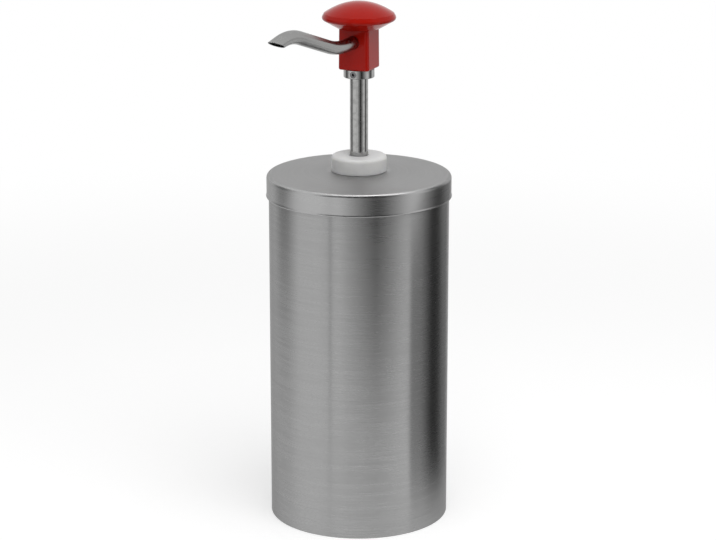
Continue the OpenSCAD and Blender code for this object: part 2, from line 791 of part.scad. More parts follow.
module spout_seal() {
    color(rubber_colour)
        translate([0, 0, spout_z])
            rotate([90, 0, 0]) seal_ring(spout_ring_mid_r, spout_ring_r, spout_ring_y);
}

container_wall();
container_base();
lid();
lid_gasket();
clamp_nut();
guide_bush();
rod_wiper();
bush_seal();
pump_cylinder();
foot_valve_body();
foot_valve_seal();
foot_valve_ball();
foot_ball_pin();
suction_tube();
return_spring();
spring_washer();
piston();
piston_rings();
delivery_ball();
delivery_ball_pin();
piston_rod();
stop_collar();
grub_screw();
head_block();
head_seal();
push_knob();
spout_tube();
spout_seal();
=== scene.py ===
"""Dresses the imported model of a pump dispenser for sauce.

The pieces that show are modelled again round the fixed frame, with smooth curves and real
edges, and every piece gets its finish. Lengths are in metres, and the spout points along -Y.
"""

import logging
import math
from collections.abc import Callable, Iterator
from contextlib import contextmanager
from dataclasses import dataclass, field
from enum import Enum

import bmesh
import bpy
from mathutils import Matrix, Vector


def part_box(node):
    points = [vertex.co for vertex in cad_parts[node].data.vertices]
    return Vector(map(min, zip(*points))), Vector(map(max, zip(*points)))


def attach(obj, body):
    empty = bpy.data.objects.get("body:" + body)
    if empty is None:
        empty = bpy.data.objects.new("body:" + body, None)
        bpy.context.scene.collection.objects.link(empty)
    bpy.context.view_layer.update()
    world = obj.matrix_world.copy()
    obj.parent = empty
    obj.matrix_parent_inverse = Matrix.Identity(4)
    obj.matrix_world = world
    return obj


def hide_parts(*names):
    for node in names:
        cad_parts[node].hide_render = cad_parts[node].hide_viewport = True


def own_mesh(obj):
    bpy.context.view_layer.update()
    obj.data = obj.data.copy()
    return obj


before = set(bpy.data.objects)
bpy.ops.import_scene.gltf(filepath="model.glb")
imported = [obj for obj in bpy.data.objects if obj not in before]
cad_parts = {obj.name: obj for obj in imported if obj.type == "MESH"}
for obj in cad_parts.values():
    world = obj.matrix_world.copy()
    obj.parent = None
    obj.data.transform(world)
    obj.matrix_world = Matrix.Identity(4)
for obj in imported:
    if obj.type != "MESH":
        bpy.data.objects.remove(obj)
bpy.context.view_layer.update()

log = logging.getLogger("sauce_dispenser")

Point = tuple[float, float]
Colour = tuple[float, float, float]
Feed = float | tuple | bpy.types.NodeSocket

# Sides of a large, a middling and a small round piece, of a drill or pin, and of a hexagon
LARGE_SIDES = 192
MIDDLE_SIDES = 128
SMALL_SIDES = 96
DRILL_SIDES = 48
HEXAGON_SIDES = 6
# Steps along a rounded corner and along a long curve
CORNER_STEPS = 12
CURVE_STEPS = 32
# A point on the axis is drawn as a tiny ring, which the weld then closes
POLE_R = 1e-6
WELD_REACH = 5e-6
# Cutters reach this far past the face that they open
OVERRUN = 0.001
# Faces that meet at more than this many degrees have a sharp edge between them
SHARP_ANGLE = 30.0
WHITE = (1.0, 1.0, 1.0, 1.0)
# Places of a Mix node's colour sockets, which share their names with its other sockets
MIX_FIRST = 6
MIX_SECOND = 7
MIX_RESULT = 2


class Body(Enum):
    """The bodies of the frame that modelled pieces ride on."""

    CONTAINER = "container"
    PUMP_LID = "pump_lid"
    SPRING_SEAT = "spring_seat"
    PLUNGER = "plunger"


class Slot(Enum):
    """The material slots of the record."""

    SHEET = "brushed_sheet"
    LID = "brushed_lid"
    SATIN = "satin_steel"
    POLISHED = "polished_steel"
    SPRING = "spring_steel"
    SCREW = "dark_screw_steel"
    NYLON = "white_plastic"
    RED = "red_plastic"
    RUBBER = "rubber"


class Effect(Enum):
    """Shader node groups that more than one finish uses."""

    GRAIN = "steel_grain"
    WEAR = "edge_wear"
    MARKS = "handling_marks"
    SKIN = "moulded_skin"


def low(node: str) -> Vector:
    """Lowest corner of a node of the frame."""
    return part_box(node)[0]


def high(node: str) -> Vector:
    """Highest corner of a node of the frame."""
    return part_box(node)[1]


def arc(centre: Point, radius: float, start: float, end: float, steps: int = CORNER_STEPS) -> list[Point]:
    """Points on an arc of a profile.

    Args:
        centre: radius and height of the arc's centre.
        radius: radius of the arc.
        start: angle of the first point in degrees, from the outward direction.
        end: angle of the last point in degrees.
        steps: number of equal steps between them.

    Returns:
        The points, both ends included.
    """
    angles = [math.radians(start + (end - start) * i / steps) for i in range(steps + 1)]
    return [(centre[0] + radius * math.cos(a), centre[1] + radius * math.sin(a)) for a in angles]


def rounded(
    before: Point, corner: Point, after: Point, radius: float, steps: int = CORNER_STEPS
) -> list[Point]:
    """Points that round the corner of a profile.

    Args:
        before: a point on the line that leads to the corner.
        corner: the corner.
        after: a point on the line that leads away.
        radius: radius of the rounding.
        steps: number of equal steps of the arc.

    Returns:
        The points, both ends included.
    """
    here = Vector(corner)
    back, ahead = (Vector(before) - here).normalized(), (Vector(after) - here).normalized()
    half = back.angle(ahead) / 2
    centre = here + (back + ahead).normalized() * radius / math.sin(half)
    first = here + back * radius / math.tan(half) - centre
    sweep = -math.copysign(math.pi - 2 * half, back.cross(ahead))
    turns = [Matrix.Rotation(sweep * i / steps, 2) for i in range(steps + 1)]
    return [tuple(centre + spin @ first) for spin in turns]


def pick_only(piece: bpy.types.Object) -> None:
    """Selects a piece and nothing else, and makes it the active one.

    Args:
        piece: the piece to work on.
    """
    bpy.ops.object.select_all(action="DESELECT")
    piece.select_set(True)
    bpy.context.view_layer.objects.active = piece


def primitive(add: Callable[..., object], **settings: object) -> bpy.types.Object:
    """Adds a primitive mesh with nothing else selected.

    Args:
        add: the operator that adds it.
        settings: its size and place, as the operator names them.

    Returns:
        The new piece.
    """
    bpy.ops.object.select_all(action="DESELECT")
    add(**settings)
    return bpy.context.active_object


def fix_place() -> None:
    """Moves the place, turn and scale of the selected piece into its mesh."""
    bpy.ops.object.transform_apply(location=True, rotation=True, scale=True)


@contextmanager
def editing(piece: bpy.types.Object) -> Iterator[None]:
    """Opens a piece in edit mode with all of it selected, and closes it again.

    Args:
        piece: the mesh object to edit.

    Yields:
        Nothing; the piece is in edit mode meanwhile.
    """
    pick_only(piece)
    bpy.ops.object.mode_set(mode="EDIT")
    bpy.ops.mesh.select_all(action="SELECT")
    yield
    bpy.ops.object.mode_set(mode="OBJECT")


def pick_edges(test: Callable[[Vector, Vector], bool]) -> None:
    """Selects the edges of the mesh in edit mode whose two ends pass a test.

    Args:
        test: says whether the edge between two points is wanted.
    """
    bpy.ops.mesh.select_mode(type="EDGE")
    bpy.ops.mesh.select_all(action="DESELECT")
    mesh = bmesh.from_edit_mesh(bpy.context.edit_object.data)
    for edge in mesh.edges:
        edge.select_set(test(edge.verts[0].co, edge.verts[1].co))
    bmesh.update_edit_mesh(bpy.context.edit_object.data)


def close_up() -> None:
    """Welds the mesh in edit mode and turns its faces outwards."""
    bpy.ops.mesh.select_all(action="SELECT")
    bpy.ops.mesh.remove_doubles(threshold=WELD_REACH)
    bpy.ops.mesh.normals_make_consistent(inside=False)


def apply_modifier(piece: bpy.types.Object, kind: str, **settings: object) -> None:
    """Puts a modifier on a piece and applies it.

    Args:
        piece: the mesh object.
        kind: the modifier's type.
        settings: the modifier's own settings by name.
    """
    pick_only(piece)
    bpy.ops.object.modifier_add(type=kind)
    modifier = piece.modifiers[-1]
    for name, value in settings.items():
        setattr(modifier, name, value)
    bpy.ops.object.modifier_apply(modifier=modifier.name)


def turn(profile: list[Point], sides: int = SMALL_SIDES) -> bpy.types.Object:
    """Turns a profile round the axis: a ring is drawn out from point to point.

    Args:
        profile: radius and height of each point. It ends where it starts, or on the axis.
        sides: number of sides of the ring.

    Returns:
        The closed mesh.
    """
    r, z = max(profile[0][0], POLE_R), profile[0][1]
    piece = primitive(bpy.ops.mesh.primitive_circle_add, vertices=sides, radius=r, fill_type="NOTHING")
    with editing(piece):
        bpy.ops.transform.translate(value=(0, 0, z))
        for next_r, next_z in profile[1:]:
            next_r = max(next_r, POLE_R)
            bpy.ops.mesh.extrude_edges_move(TRANSFORM_OT_translate={"value": (0, 0, next_z - z)})
            bpy.ops.transform.resize(value=(next_r / r, next_r / r, 1), center_override=(0, 0, next_z))
            r, z = next_r, next_z
        close_up()
    return piece


def cylinder(
    r: float, h: float, centre: Vector, sides: int = SMALL_SIDES, lying: bool = False
) -> bpy.types.Object:
    """A plain cylinder to cut or join with, upright or lying along Y.

    Args:
        r: radius.
        h: length.
        centre: its middle.
        sides: number of sides.
        lying: whether it lies along Y.

    Returns:
        The mesh, with its object at the origin.
    """
    tilt = math.pi / 2 if lying else 0
    piece = primitive(
        bpy.ops.mesh.primitive_cylinder_add,
        vertices=sides,
        radius=r,
        depth=h,
        location=centre,
        rotation=(tilt, 0, 0),
    )
    fix_place()
    return piece


def combine(piece: bpy.types.Object, tool: bpy.types.Object, operation: str = "DIFFERENCE") -> None:
    """Cuts a piece with a tool, or joins the tool to it, and removes the tool.

    Args:
        piece: the piece that stays.
        tool: the mesh that cuts or joins.
        operation: DIFFERENCE or UNION.
    """
    apply_modifier(piece, "BOOLEAN", object=tool, operation=operation, solver="EXACT")
    bpy.data.objects.remove(tool)


def shade(piece: bpy.types.Object, angle: float = SHARP_ANGLE) -> None:
    """Smooths a piece, with sharp edges where its faces meet at more than an angle.

    Args:
        piece: the mesh object.
        angle: the angle in degrees.
    """
    pick_only(piece)
    bpy.ops.object.shade_smooth_by_angle(angle=math.radians(angle))
    apply_modifier(piece, "WEIGHTED_NORMAL", keep_sharp=True)


@dataclass(frozen=True)
class Noise:
    """A noise pattern, with the values that count as nothing and as full."""

    detail: float
    scale: float = 1.0
    roughness: float = 0.5
    distortion: float = 0.0
    low: float = 0.0
    high: float = 1.0


class Board:
    """A node tree that is written one node at a time."""

    def __init__(self, tree: bpy.types.NodeTree) -> None:
        """Keeps the tree to write in."""
        self.tree = tree

    def add(
        self, kind: str, feeds: dict[str | int, Feed] | None = None, **settings: object
    ) -> bpy.types.Node:
        """Adds a node.

        Args:
            kind: the node's class, without the leading ShaderNode.
            feeds: a value or another node's socket for each input, by name or place.
            settings: the node's own settings by name.

        Returns:
            The new node.
        """
        made = self.tree.nodes.new("ShaderNode" + kind)
        for name, value in settings.items():
            setattr(made, name, value)
        for key, value in (feeds or {}).items():
            self.feed(made.inputs[key], value)
        return made

    def feed(self, socket: bpy.types.NodeSocket, value: Feed) -> None:
        """Links a socket to another, or gives it a value.

        Args:
            socket: the input socket.
            value: the socket to link to it, or its value.
        """
        if isinstance(value, bpy.types.NodeSocket):
            self.tree.links.new(value, socket)
        else:
            socket.default_value = value

    def math(self, operation: str, a: Feed, b: Feed = 0.0) -> bpy.types.NodeSocket:
        """Result of a sum of one or two values."""
        return self.add("Math", {0: a, 1: b}, operation=operation).outputs[0]

    def spread(
        self, value: Feed, start: Feed, end: Feed, low_out: float = 0.0, high_out: float = 1.0
    ) -> bpy.types.NodeSocket:
        """Maps a range of values to another one, smoothly and within its ends.

        Args:
            value: the value to map.
            start: the value that gives low_out.
            end: the value that gives high_out.
            low_out: result at the start.
            high_out: result at the end.

        Returns:
            The socket with the result.
        """
        feeds = {"Value": value, "From Min": start, "From Max": end, "To Min": low_out, "To Max": high_out}
        return self.add("MapRange", feeds, interpolation_type="SMOOTHSTEP").outputs["Result"]

    def ramp(self, value: Feed, start: float, end: float) -> bpy.types.NodeSocket:
        """Straight ramp from 0 at the start to 1 at the end, level beyond them."""
        feeds = {"Value": value, "From Min": start, "From Max": end}
        return self.add("MapRange", feeds, clamp=True).outputs["Result"]

    def blend(self, share: Feed, first: Feed, second: Feed) -> bpy.types.NodeSocket:
        """Colour between two colours.

        Args:
            share: how much of the second colour it has.
            first: the first colour.
            second: the second colour.

        Returns:
            The socket with the colour.
        """
        feeds = {0: share, MIX_FIRST: first, MIX_SECOND: second}
        return self.add("Mix", feeds, data_type="RGBA").outputs[MIX_RESULT]

    def spot(self) -> bpy.types.NodeSocket:
        """Place of the shaded spot on its own object."""
        return self.add("TexCoord").outputs["Object"]

    def axes(self, vector: Feed) -> bpy.types.bpy_prop_collection:
        """The three parts of a vector."""
        return self.add("SeparateXYZ", {0: vector}).outputs

    def vector(self, x: Feed, y: Feed, z: Feed = 0.0) -> bpy.types.NodeSocket:
        """A vector made of its parts."""
        return self.add("CombineXYZ", {0: x, 1: y, 2: z}).outputs[0]

    def length(self, vector: Feed) -> bpy.types.NodeSocket:
        """Length of a vector."""
        return self.add("VectorMath", {0: vector}, operation="LENGTH").outputs["Value"]

    def noise(self, noise: Noise, spot: Feed, scale: Feed | None = None) -> bpy.types.NodeSocket:
        """Adds a noise pattern.

        Args:
            noise: the pattern.
            spot: the spot at which it is read.
            scale: a scale in place of the pattern's own.

        Returns:
            The socket with its value.
        """
        feeds = {
            "Vector": spot,
            "Scale": noise.scale if scale is None else scale,
            "Detail": noise.detail,
            "Roughness": noise.roughness,
            "Distortion": noise.distortion,
        }
        return self.add("TexNoise", feeds).outputs[0]

    def clouds(self, noise: Noise, spot: Feed, scale: Feed | None = None) -> bpy.types.NodeSocket:
        """A noise pattern that is spread between its low and its high value."""
        return self.spread(self.noise(noise, spot, scale), noise.low, noise.high)


# Fine brush lines, and the broad streaks among them
FINE_LINES = Noise(detail=3.0, roughness=0.65, low=0.25, high=0.75)
BROAD_STREAKS = Noise(detail=2.0, scale=0.17, low=0.25, high=0.75)
# How evenly an edge is rubbed, and the soft patches that hands leave
RUBBED_PATCHES = Noise(detail=3.0, scale=260.0, low=0.3, high=0.6)
WIPED_PATCHES = Noise(detail=4.0, distortion=0.6, low=0.35, high=0.68)
# The fine skin of plastic, and the slow waves under it with their weight
FINE_SKIN = Noise(detail=2.0)
SLOW_WAVES = Noise(detail=1.0, scale=70.0)
WAVE_WEIGHT = 3.0
# Pointiness at which a face stops being flat
FLAT_BEND = 0.505


def group_tree(
    effect: Effect, inputs: dict[str, str], outputs: list[str]
) -> tuple[Board, bpy.types.Node, bpy.types.Node]:
    """Starts a shader node group with named sockets.

    Args:
        effect: the effect that names the group.
        inputs: the type of each input's socket by name.
        outputs: the names of the outputs, each a value.

    Returns:
        The board to write on, the group's input node and its output node.
    """
    tree = bpy.data.node_groups.new(effect.value, "ShaderNodeTree")
    for name, kind in inputs.items():
        tree.interface.new_socket(name=name, in_out="INPUT", socket_type=kind)
    for name in outputs:
        tree.interface.new_socket(name=name, in_out="OUTPUT", socket_type="NodeSocketFloat")
    return Board(tree), tree.nodes.new("NodeGroupInput"), tree.nodes.new("NodeGroupOutput")


def grain_group() -> bpy.types.NodeTree:
    """Brush lines in steel. The scale gives lines per metre along X, Y and the height of a
    spot, to which the radius is added where the grain runs round a turned face.

    Returns:
        The group, with Lines for the fine lines and Streaks for the broad ones.
    """
    board, given, out = group_tree(
        Effect.GRAIN,
        {"Spot": "NodeSocketVector", "Scale": "NodeSocketVector", "Radial": "NodeSocketFloat"},
        ["Lines", "Streaks"],
    )
    place = board.axes(given.outputs["Spot"])
    radius = board.length(board.vector(place[0], place[1]))
    height = board.math("ADD", place[2], board.math("MULTIPLY", radius, given.outputs["Radial"]))
    spot = board.vector(place[0], place[1], height)
    scaled = board.add("VectorMath", {0: spot, 1: given.outputs["Scale"]}, operation="MULTIPLY").outputs[0]
    for name, noise in (("Lines", FINE_LINES), ("Streaks", BROAD_STREAKS)):
        board.feed(out.inputs[name], board.clouds(noise, scaled))
    return board.tree


def wear_group() -> bpy.types.NodeTree:
    """A mask of the outer edges, where hands and cloths rub a surface smooth.

    Returns:
        The group, with the Mask.
    """
    board, given, out = group_tree(Effect.WEAR, {"Reach": "NodeSocketFloat"}, ["Mask"])
    bend = board.add("NewGeometry").outputs["Pointiness"]
    edge = board.spread(bend, FLAT_BEND, board.math("ADD", FLAT_BEND, given.outputs["Reach"]))
    patches = board.clouds(RUBBED_PATCHES, board.spot())
    board.feed(out.inputs["Mask"], board.math("MULTIPLY", edge, patches))
    return board.tree


def marks_group() -> bpy.types.NodeTree:
    """Soft patches that handling and wiping leave.

    Returns:
        The group, with Marks from 0 to 1.
    """
    board, given, out = group_tree(Effect.MARKS, {"Scale": "NodeSocketFloat"}, ["Marks"])
    board.feed(out.inputs["Marks"], board.clouds(WIPED_PATCHES, board.spot(), given.outputs["Scale"]))
    return board.tree


def skin_group() -> bpy.types.NodeTree:
    """The faint unevenness of a moulded or turned plastic face.

    Returns:
        The group, with the Height.
    """
    board, given, out = group_tree(Effect.SKIN, {"Scale": "NodeSocketFloat"}, ["Height"])
    spot = board.spot()
    fine = board.noise(FINE_SKIN, spot, given.outputs["Scale"])
    waves = board.math("MULTIPLY", board.noise(SLOW_WAVES, spot), WAVE_WEIGHT)
    board.feed(out.inputs["Height"], board.math("ADD", fine, waves))
    return board.tree


GROUPS = {
    Effect.GRAIN: grain_group(),
    Effect.WEAR: wear_group(),
    Effect.MARKS: marks_group(),
    Effect.SKIN: skin_group(),
}


def use(board: Board, effect: Effect, feeds: dict[str, Feed]) -> bpy.types.bpy_prop_collection:
    """Places an effect's group in a material.

    Args:
        board: the material's board.
        effect: the effect.
        feeds: values for the group's inputs by name.

    Returns:
        The group's outputs.
    """
    made = board.tree.nodes.new("ShaderNodeGroup")
    made.node_tree = GROUPS[effect]
    for name, value in feeds.items():
        board.feed(made.inputs[name], value)
    return made.outputs


def new_material(name: str) -> tuple[bpy.types.Material, Board, bpy.types.Node]:
    """Starts a material.

    Args:
        name: the material's name.

    Returns:
        The material, a board on its tree, and its Principled BSDF.
    """
    material = bpy.data.materials.new(name)
    material.use_nodes = True
    return material, Board(material.node_tree), material.node_tree.nodes["Principled BSDF"]


def opaque(colour: Colour, gain: float = 1.0) -> tuple[float, ...]:
    """A colour made darker or lighter, with full cover."""
    return tuple(min(1.0, part * gain) for part in colour) + (1.0,)


# Where the grain of a bent tube runs, the near-black painted shade of its bore and cut rim, and how softly
# that painted shade begins
TUBE_PLACE = "place_in_tube"
BORE_PAINTED_SHADE = (0.02, 0.02, 0.02)
BORE_SHADE_FADE = 0.000255
# How far up a face looks where the rougher finish of a top begins and is full
TOP_FACING = (0.6, 0.98)
# Turn of the stretched highlight, which lies across the brush lines
QUARTER_TURN = 0.25


@dataclass(frozen=True)
class Steel:
    """Stainless steel with a grain, worn edges and handling marks, and in a bent tube painted shade in the
    bore.

    Its gains multiply the tint or the roughness.
    """

    name: str
    tint: Colour
    roughness: float
    grain: tuple[float, float, float]
    depth: float
    contrast: float
    radial: float = 0.0
    line_share: float = 0.75
    dark_rough_gain: float = 1.12
    light_rough_gain: float = 0.9
    anisotropy: float = 0.0
    marks: float = 0.02
    marks_scale: float = 22.0
    wear_reach: float = 0.06
    wear_gain: float = 1.25
    wear_polish: float = 0.08
    edge_tint: float = 0.7
    top_roughness: float = 0.0
    follows: str = ""
    # Radius within which shade is painted into a bent tube's bore and cut rim; nought for none
    painted_shade_r: float = 0.0

    def material(self) -> bpy.types.Material:
        """Builds the material of this finish.

        Returns:
            The material.
        """
        material, board, shader = new_material(self.name)
        spot = board.spot()
        if self.follows:
            spot = board.add("Attribute", attribute_name=self.follows).outputs["Vector"]
        grain = use(board, Effect.GRAIN, {"Spot": spot, "Scale": self.grain, "Radial": self.radial})
        lines = board.math("MULTIPLY", grain["Lines"], self.line_share)
        lines = board.math("ADD", lines, board.math("MULTIPLY", grain["Streaks"], 1 - self.line_share))
        worn = use(board, Effect.WEAR, {"Reach": self.wear_reach})["Mask"]
        self.colour(board, shader, spot, lines, worn)
        self.polish(board, shader, lines, worn)
        bump = board.add("Bump", {"Height": grain["Lines"], "Distance": self.depth, "Strength": 1.0})
        board.feed(shader.inputs["Normal"], bump.outputs[0])
        shader.inputs["Metallic"].default_value = 1.0
        shader.inputs["Specular Tint"].default_value = opaque((self.edge_tint,) * 3)
        if self.anisotropy:
            shader.inputs["Anisotropic"].default_value = self.anisotropy
            shader.inputs["Anisotropic Rotation"].default_value = QUARTER_TURN
            tangent = board.add("Tangent", direction_type="RADIAL", axis="Z")
            board.feed(shader.inputs["Tangent"], tangent.outputs[0])
        return material

    def colour(self, board: Board, shader: bpy.types.Node, spot: Feed, lines: Feed, worn: Feed) -> None:
        """Colours the steel by its brush lines and its worn edges, and paints shade into a tube's bore and
        cut rim.

        Args:
            board: the material's board.
            shader: its Principled BSDF.
            spot: the spot, or its place in a bent tube.
            lines: how light the brush line at the spot is.
            worn: how far the spot is rubbed.
        """
        dark, light = opaque(self.tint, 1 - self.contrast), opaque(self.tint, 1 + self.contrast)
        colour = board.blend(worn, board.blend(lines, dark, light), opaque(self.tint, self.wear_gain))
        # A tube's bore and cut rim get a near-black colour as painted shade
        if self.painted_shade_r:
            colour = board.blend(self.painted_bore_shade(board, spot), colour, opaque(BORE_PAINTED_SHADE))
        board.feed(shader.inputs["Base Color"], colour)

    def polish(self, board: Board, shader: bpy.types.Node, lines: Feed, worn: Feed) -> None:
        """Roughens the steel by its brush lines, handling marks and rubbed edges.

        Args:
            board: the material's board.
            shader: its Principled BSDF.
            lines: how light the brush line at the spot is.
            worn: how far the spot is rubbed.
        """
        dark, light = self.roughness * self.dark_rough_gain, self.roughness * self.light_rough_gain
        rough = board.spread(lines, 0.0, 1.0, dark, light)
        if self.top_roughness:
            facing = board.axes(board.add("TexCoord").outputs["Normal"])[2]
            extra = board.spread(facing, *TOP_FACING, 0.0, self.top_roughness - self.roughness)
            rough = board.math("ADD", rough, extra)
        marks = use(board, Effect.MARKS, {"Scale": self.marks_scale})["Marks"]
        rough = board.math("ADD", rough, board.math("MULTIPLY", marks, self.marks))
        rubbed = board.math("MULTIPLY", worn, self.wear_polish)
        board.feed(shader.inputs["Roughness"], board.math("SUBTRACT", rough, rubbed))

    def painted_bore_shade(self, board: Board, spot: Feed) -> bpy.types.NodeSocket:
        """Marks the bore of a bent tube and its cut rim, where shade is painted in as a dark colour.

        Args:
            board: the material's board.
            spot: place across, along and above the tube's middle line.

        Returns:
            One in the bore and nought on the outside.
        """
        place = board.axes(spot)
        reach = board.length(board.vector(place[0], place[2]))
        return board.ramp(reach, self.painted_shade_r + BORE_SHADE_FADE, self.painted_shade_r)


@dataclass(frozen=True)
class Plastic:
    """Moulded or turned plastic, or rubber, with a faint skin and rubbed edges.

    Its gains multiply the tint or the roughness.
    """

    name: str
    tint: Colour
    worn_tint: Colour
    roughness: float
    skin_depth: float
    specular: float
    subsurface: float = 0.0
    subsurface_r: Colour = (0.006, 0.006, 0.0055)
    skin_scale: float = 1400.0
    wear_reach: float = 0.08
    marks_scale: float = 45.0
    marked_gain: float = 0.93
    clean_rough_gain: float = 0.92
    marked_rough_gain: float = 1.15

    def material(self) -> bpy.types.Material:
        """Builds the material of this finish.

        Returns:
            The material.
        """
        material, board, shader = new_material(self.name)
        marks = use(board, Effect.MARKS, {"Scale": self.marks_scale})["Marks"]
        worn = use(board, Effect.WEAR, {"Reach": self.wear_reach})["Mask"]
        skin = use(board, Effect.SKIN, {"Scale": self.skin_scale})["Height"]
        body = board.blend(marks, opaque(self.tint), opaque(self.tint, self.marked_gain))
        board.feed(shader.inputs["Base Color"], board.blend(worn, body, opaque(self.worn_tint)))
        clean, marked = self.roughness * self.clean_rough_gain, self.roughness * self.marked_rough_gain
        board.feed(shader.inputs["Roughness"], board.spread(marks, 0.0, 1.0, clean, marked))
        bump = board.add("Bump", {"Height": skin, "Distance": self.skin_depth, "Strength": 1.0})
        board.feed(shader.inputs["Normal"], bump.outputs[0])
        shader.inputs["Specular IOR Level"].default_value = self.specular
        shader.inputs["Subsurface Weight"].default_value = self.subsurface
        shader.inputs["Subsurface Radius"].default_value = self.subsurface_r
        shader.inputs["Subsurface Scale"].default_value = 1.0
        return material


# Lines per metre along X, Y and the height, or across, along and above a bent tube
ROUND_GRAIN = (28.0, 28.0, 1600.0)
LONG_GRAIN = (2400.0, 2400.0, 14.0)
TUBE_GRAIN = (2400.0, 14.0, 2400.0)
EVEN_GRAIN = (900.0, 900.0, 900.0)

FINISHES = {
    Slot.SHEET: Steel(
        "brushed_sheet", (0.359, 0.359, 0.359), roughness=0.28, grain=ROUND_GRAIN, radial=1.0,
        depth=4e-7, contrast=0.025, anisotropy=1.0, edge_tint=0.57,
    ),
    Slot.LID: Steel(
        "brushed_lid", (0.41, 0.41, 0.41), roughness=0.28, grain=ROUND_GRAIN, radial=1.0,
        depth=1e-7, contrast=0.015, edge_tint=0.6, top_roughness=0.48,
    ),
    Slot.SATIN: Steel(
        "satin_steel", (0.33, 0.33, 0.325), roughness=0.2, grain=LONG_GRAIN, depth=1e-7, contrast=0.02,
        marks=0.005,
    ),
    Slot.POLISHED: Steel(
        "polished_steel", (0.62, 0.62, 0.61), roughness=0.1, grain=EVEN_GRAIN, depth=2e-7, contrast=0.03,
    ),
    Slot.SPRING: Steel(
        "spring_steel", (0.5, 0.5, 0.49), roughness=0.26, grain=EVEN_GRAIN, depth=5e-7, contrast=0.06,
    ),
    Slot.SCREW: Steel(
        "dark_screw_steel", (0.2, 0.2, 0.205), roughness=0.35, grain=EVEN_GRAIN, depth=5e-7, contrast=0.1,
    ),
    Slot.NYLON: Plastic(
        "white_plastic", (0.76, 0.76, 0.75), (0.79, 0.79, 0.78), roughness=0.42, skin_depth=5e-7,
        specular=0.15, subsurface=1.0,
    ),
    Slot.RED: Plastic(
        "red_plastic", (0.42, 0.0095, 0.0045), (0.45, 0.014, 0.008), roughness=0.13, skin_depth=2e-7,
        specular=0.135,
    ),
    Slot.RUBBER: Plastic(
        "sealing_rubber", (0.018, 0.018, 0.019), (0.04, 0.04, 0.04), roughness=0.62, skin_depth=2e-6,
        specular=0.3,
    ),
}
# The bent tube's steel, with painted shade in its bore and on its cut rim
BENT_TUBE = Steel(
    "bent_tube_steel", (0.33, 0.33, 0.325), roughness=0.22, grain=TUBE_GRAIN, depth=1e-7, contrast=0.02,
    marks=0.005, follows=TUBE_PLACE, painted_shade_r=0.004845,
)


def settle(piece: bpy.types.Object, name: str, body: Body, slot: Slot, *nodes: str) -> None:
    """Names a finished piece, gives it its finish and fixes it to its body.

    Args:
        piece: the finished mesh object.
        name: its name.
        body: the body it rides on.
        slot: the material slot of its finish.
        nodes: the nodes of the frame that it stands for.
    """
    piece.name = name
    piece.data.name = name
    piece.data.materials.clear()
    piece.data.materials.append(MATERIALS[slot])
    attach(piece, body.value)
    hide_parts(*nodes)
    log.info("%s: %d faces, rides on %s", name, len(piece.data.polygons), body.value)


@dataclass
class Container:
    """The round container: a rolled wall with a turned-in rim, and a pressed base."""

    sheet: float = 0.0008
    rim_bend_r: float = 0.0016
    rim_lip_w: float = 0.0024
    foot_edge_r: float = 0.0004
    foot_edge_steps: int = 6
    base_bend_r: float = 0.0014
    base_bend_steps: int = 8
    base_ring_w: float = 0.0085
    base_slope_w: float = 0.004
    base_rise: float = 0.0015
    radius: float = field(default_factory=lambda: high("container_wall").x)
    height: float = field(default_factory=lambda: high("container_wall").z)
    flange_h: float = field(default_factory=lambda: high("container_base").z)

    def wall(self) -> None:
        """Turns the wall, from its foot over the rim and down inside."""
        rim_r = self.radius - self.rim_bend_r
        rim_z = self.height - self.rim_bend_r
        inside_r = self.radius - self.sheet
        lip_r = rim_r - self.rim_lip_w
        foot_r = self.foot_edge_r
        foot = arc((self.radius - foot_r, foot_r), foot_r, -90, 0, self.foot_edge_steps)
        outline = foot + arc((rim_r, rim_z), self.rim_bend_r, 0, 90)
        outline += [(lip_r, self.height), (lip_r, self.height - self.sheet)]
        outline += arc((rim_r, rim_z), self.rim_bend_r - self.sheet, 90, 0)
        piece = turn([*outline, (inside_r, 0), foot[0]], LARGE_SIDES)
        shade(piece)
        settle(piece, "brushed_wall", Body.CONTAINER, Slot.SHEET, "container_wall")

    def base(self) -> None:
        """Turns the base: a raised middle, a ring to stand on and an upturned flange."""
        inside_r = self.radius - self.sheet
        bend_r = inside_r - self.base_bend_r
        bend, steps = (bend_r, self.base_bend_r), self.base_bend_steps
        ring_r = bend_r - self.base_ring_w
        slope_r = ring_r - self.base_slope_w
        floor_z = self.base_rise + self.sheet
        outline = [(0, self.base_rise), (slope_r, self.base_rise), (ring_r, 0)]
        outline += arc(bend, self.base_bend_r, -90, 0, steps)
        outline += [(inside_r, self.flange_h), (inside_r - self.sheet, self.flange_h)]
        outline += arc(bend, self.base_bend_r - self.sheet, 0, -90, steps)
        outline += [(ring_r, self.sheet), (slope_r, floor_z), (0, floor_z)]
        piece = turn(outline, LARGE_SIDES)
        shade(piece)
        settle(piece, "pressed_base", Body.CONTAINER, Slot.SHEET, "container_base")

    def build(self) -> None:
        """Builds the container's pieces."""
        self.wall()
        self.base()


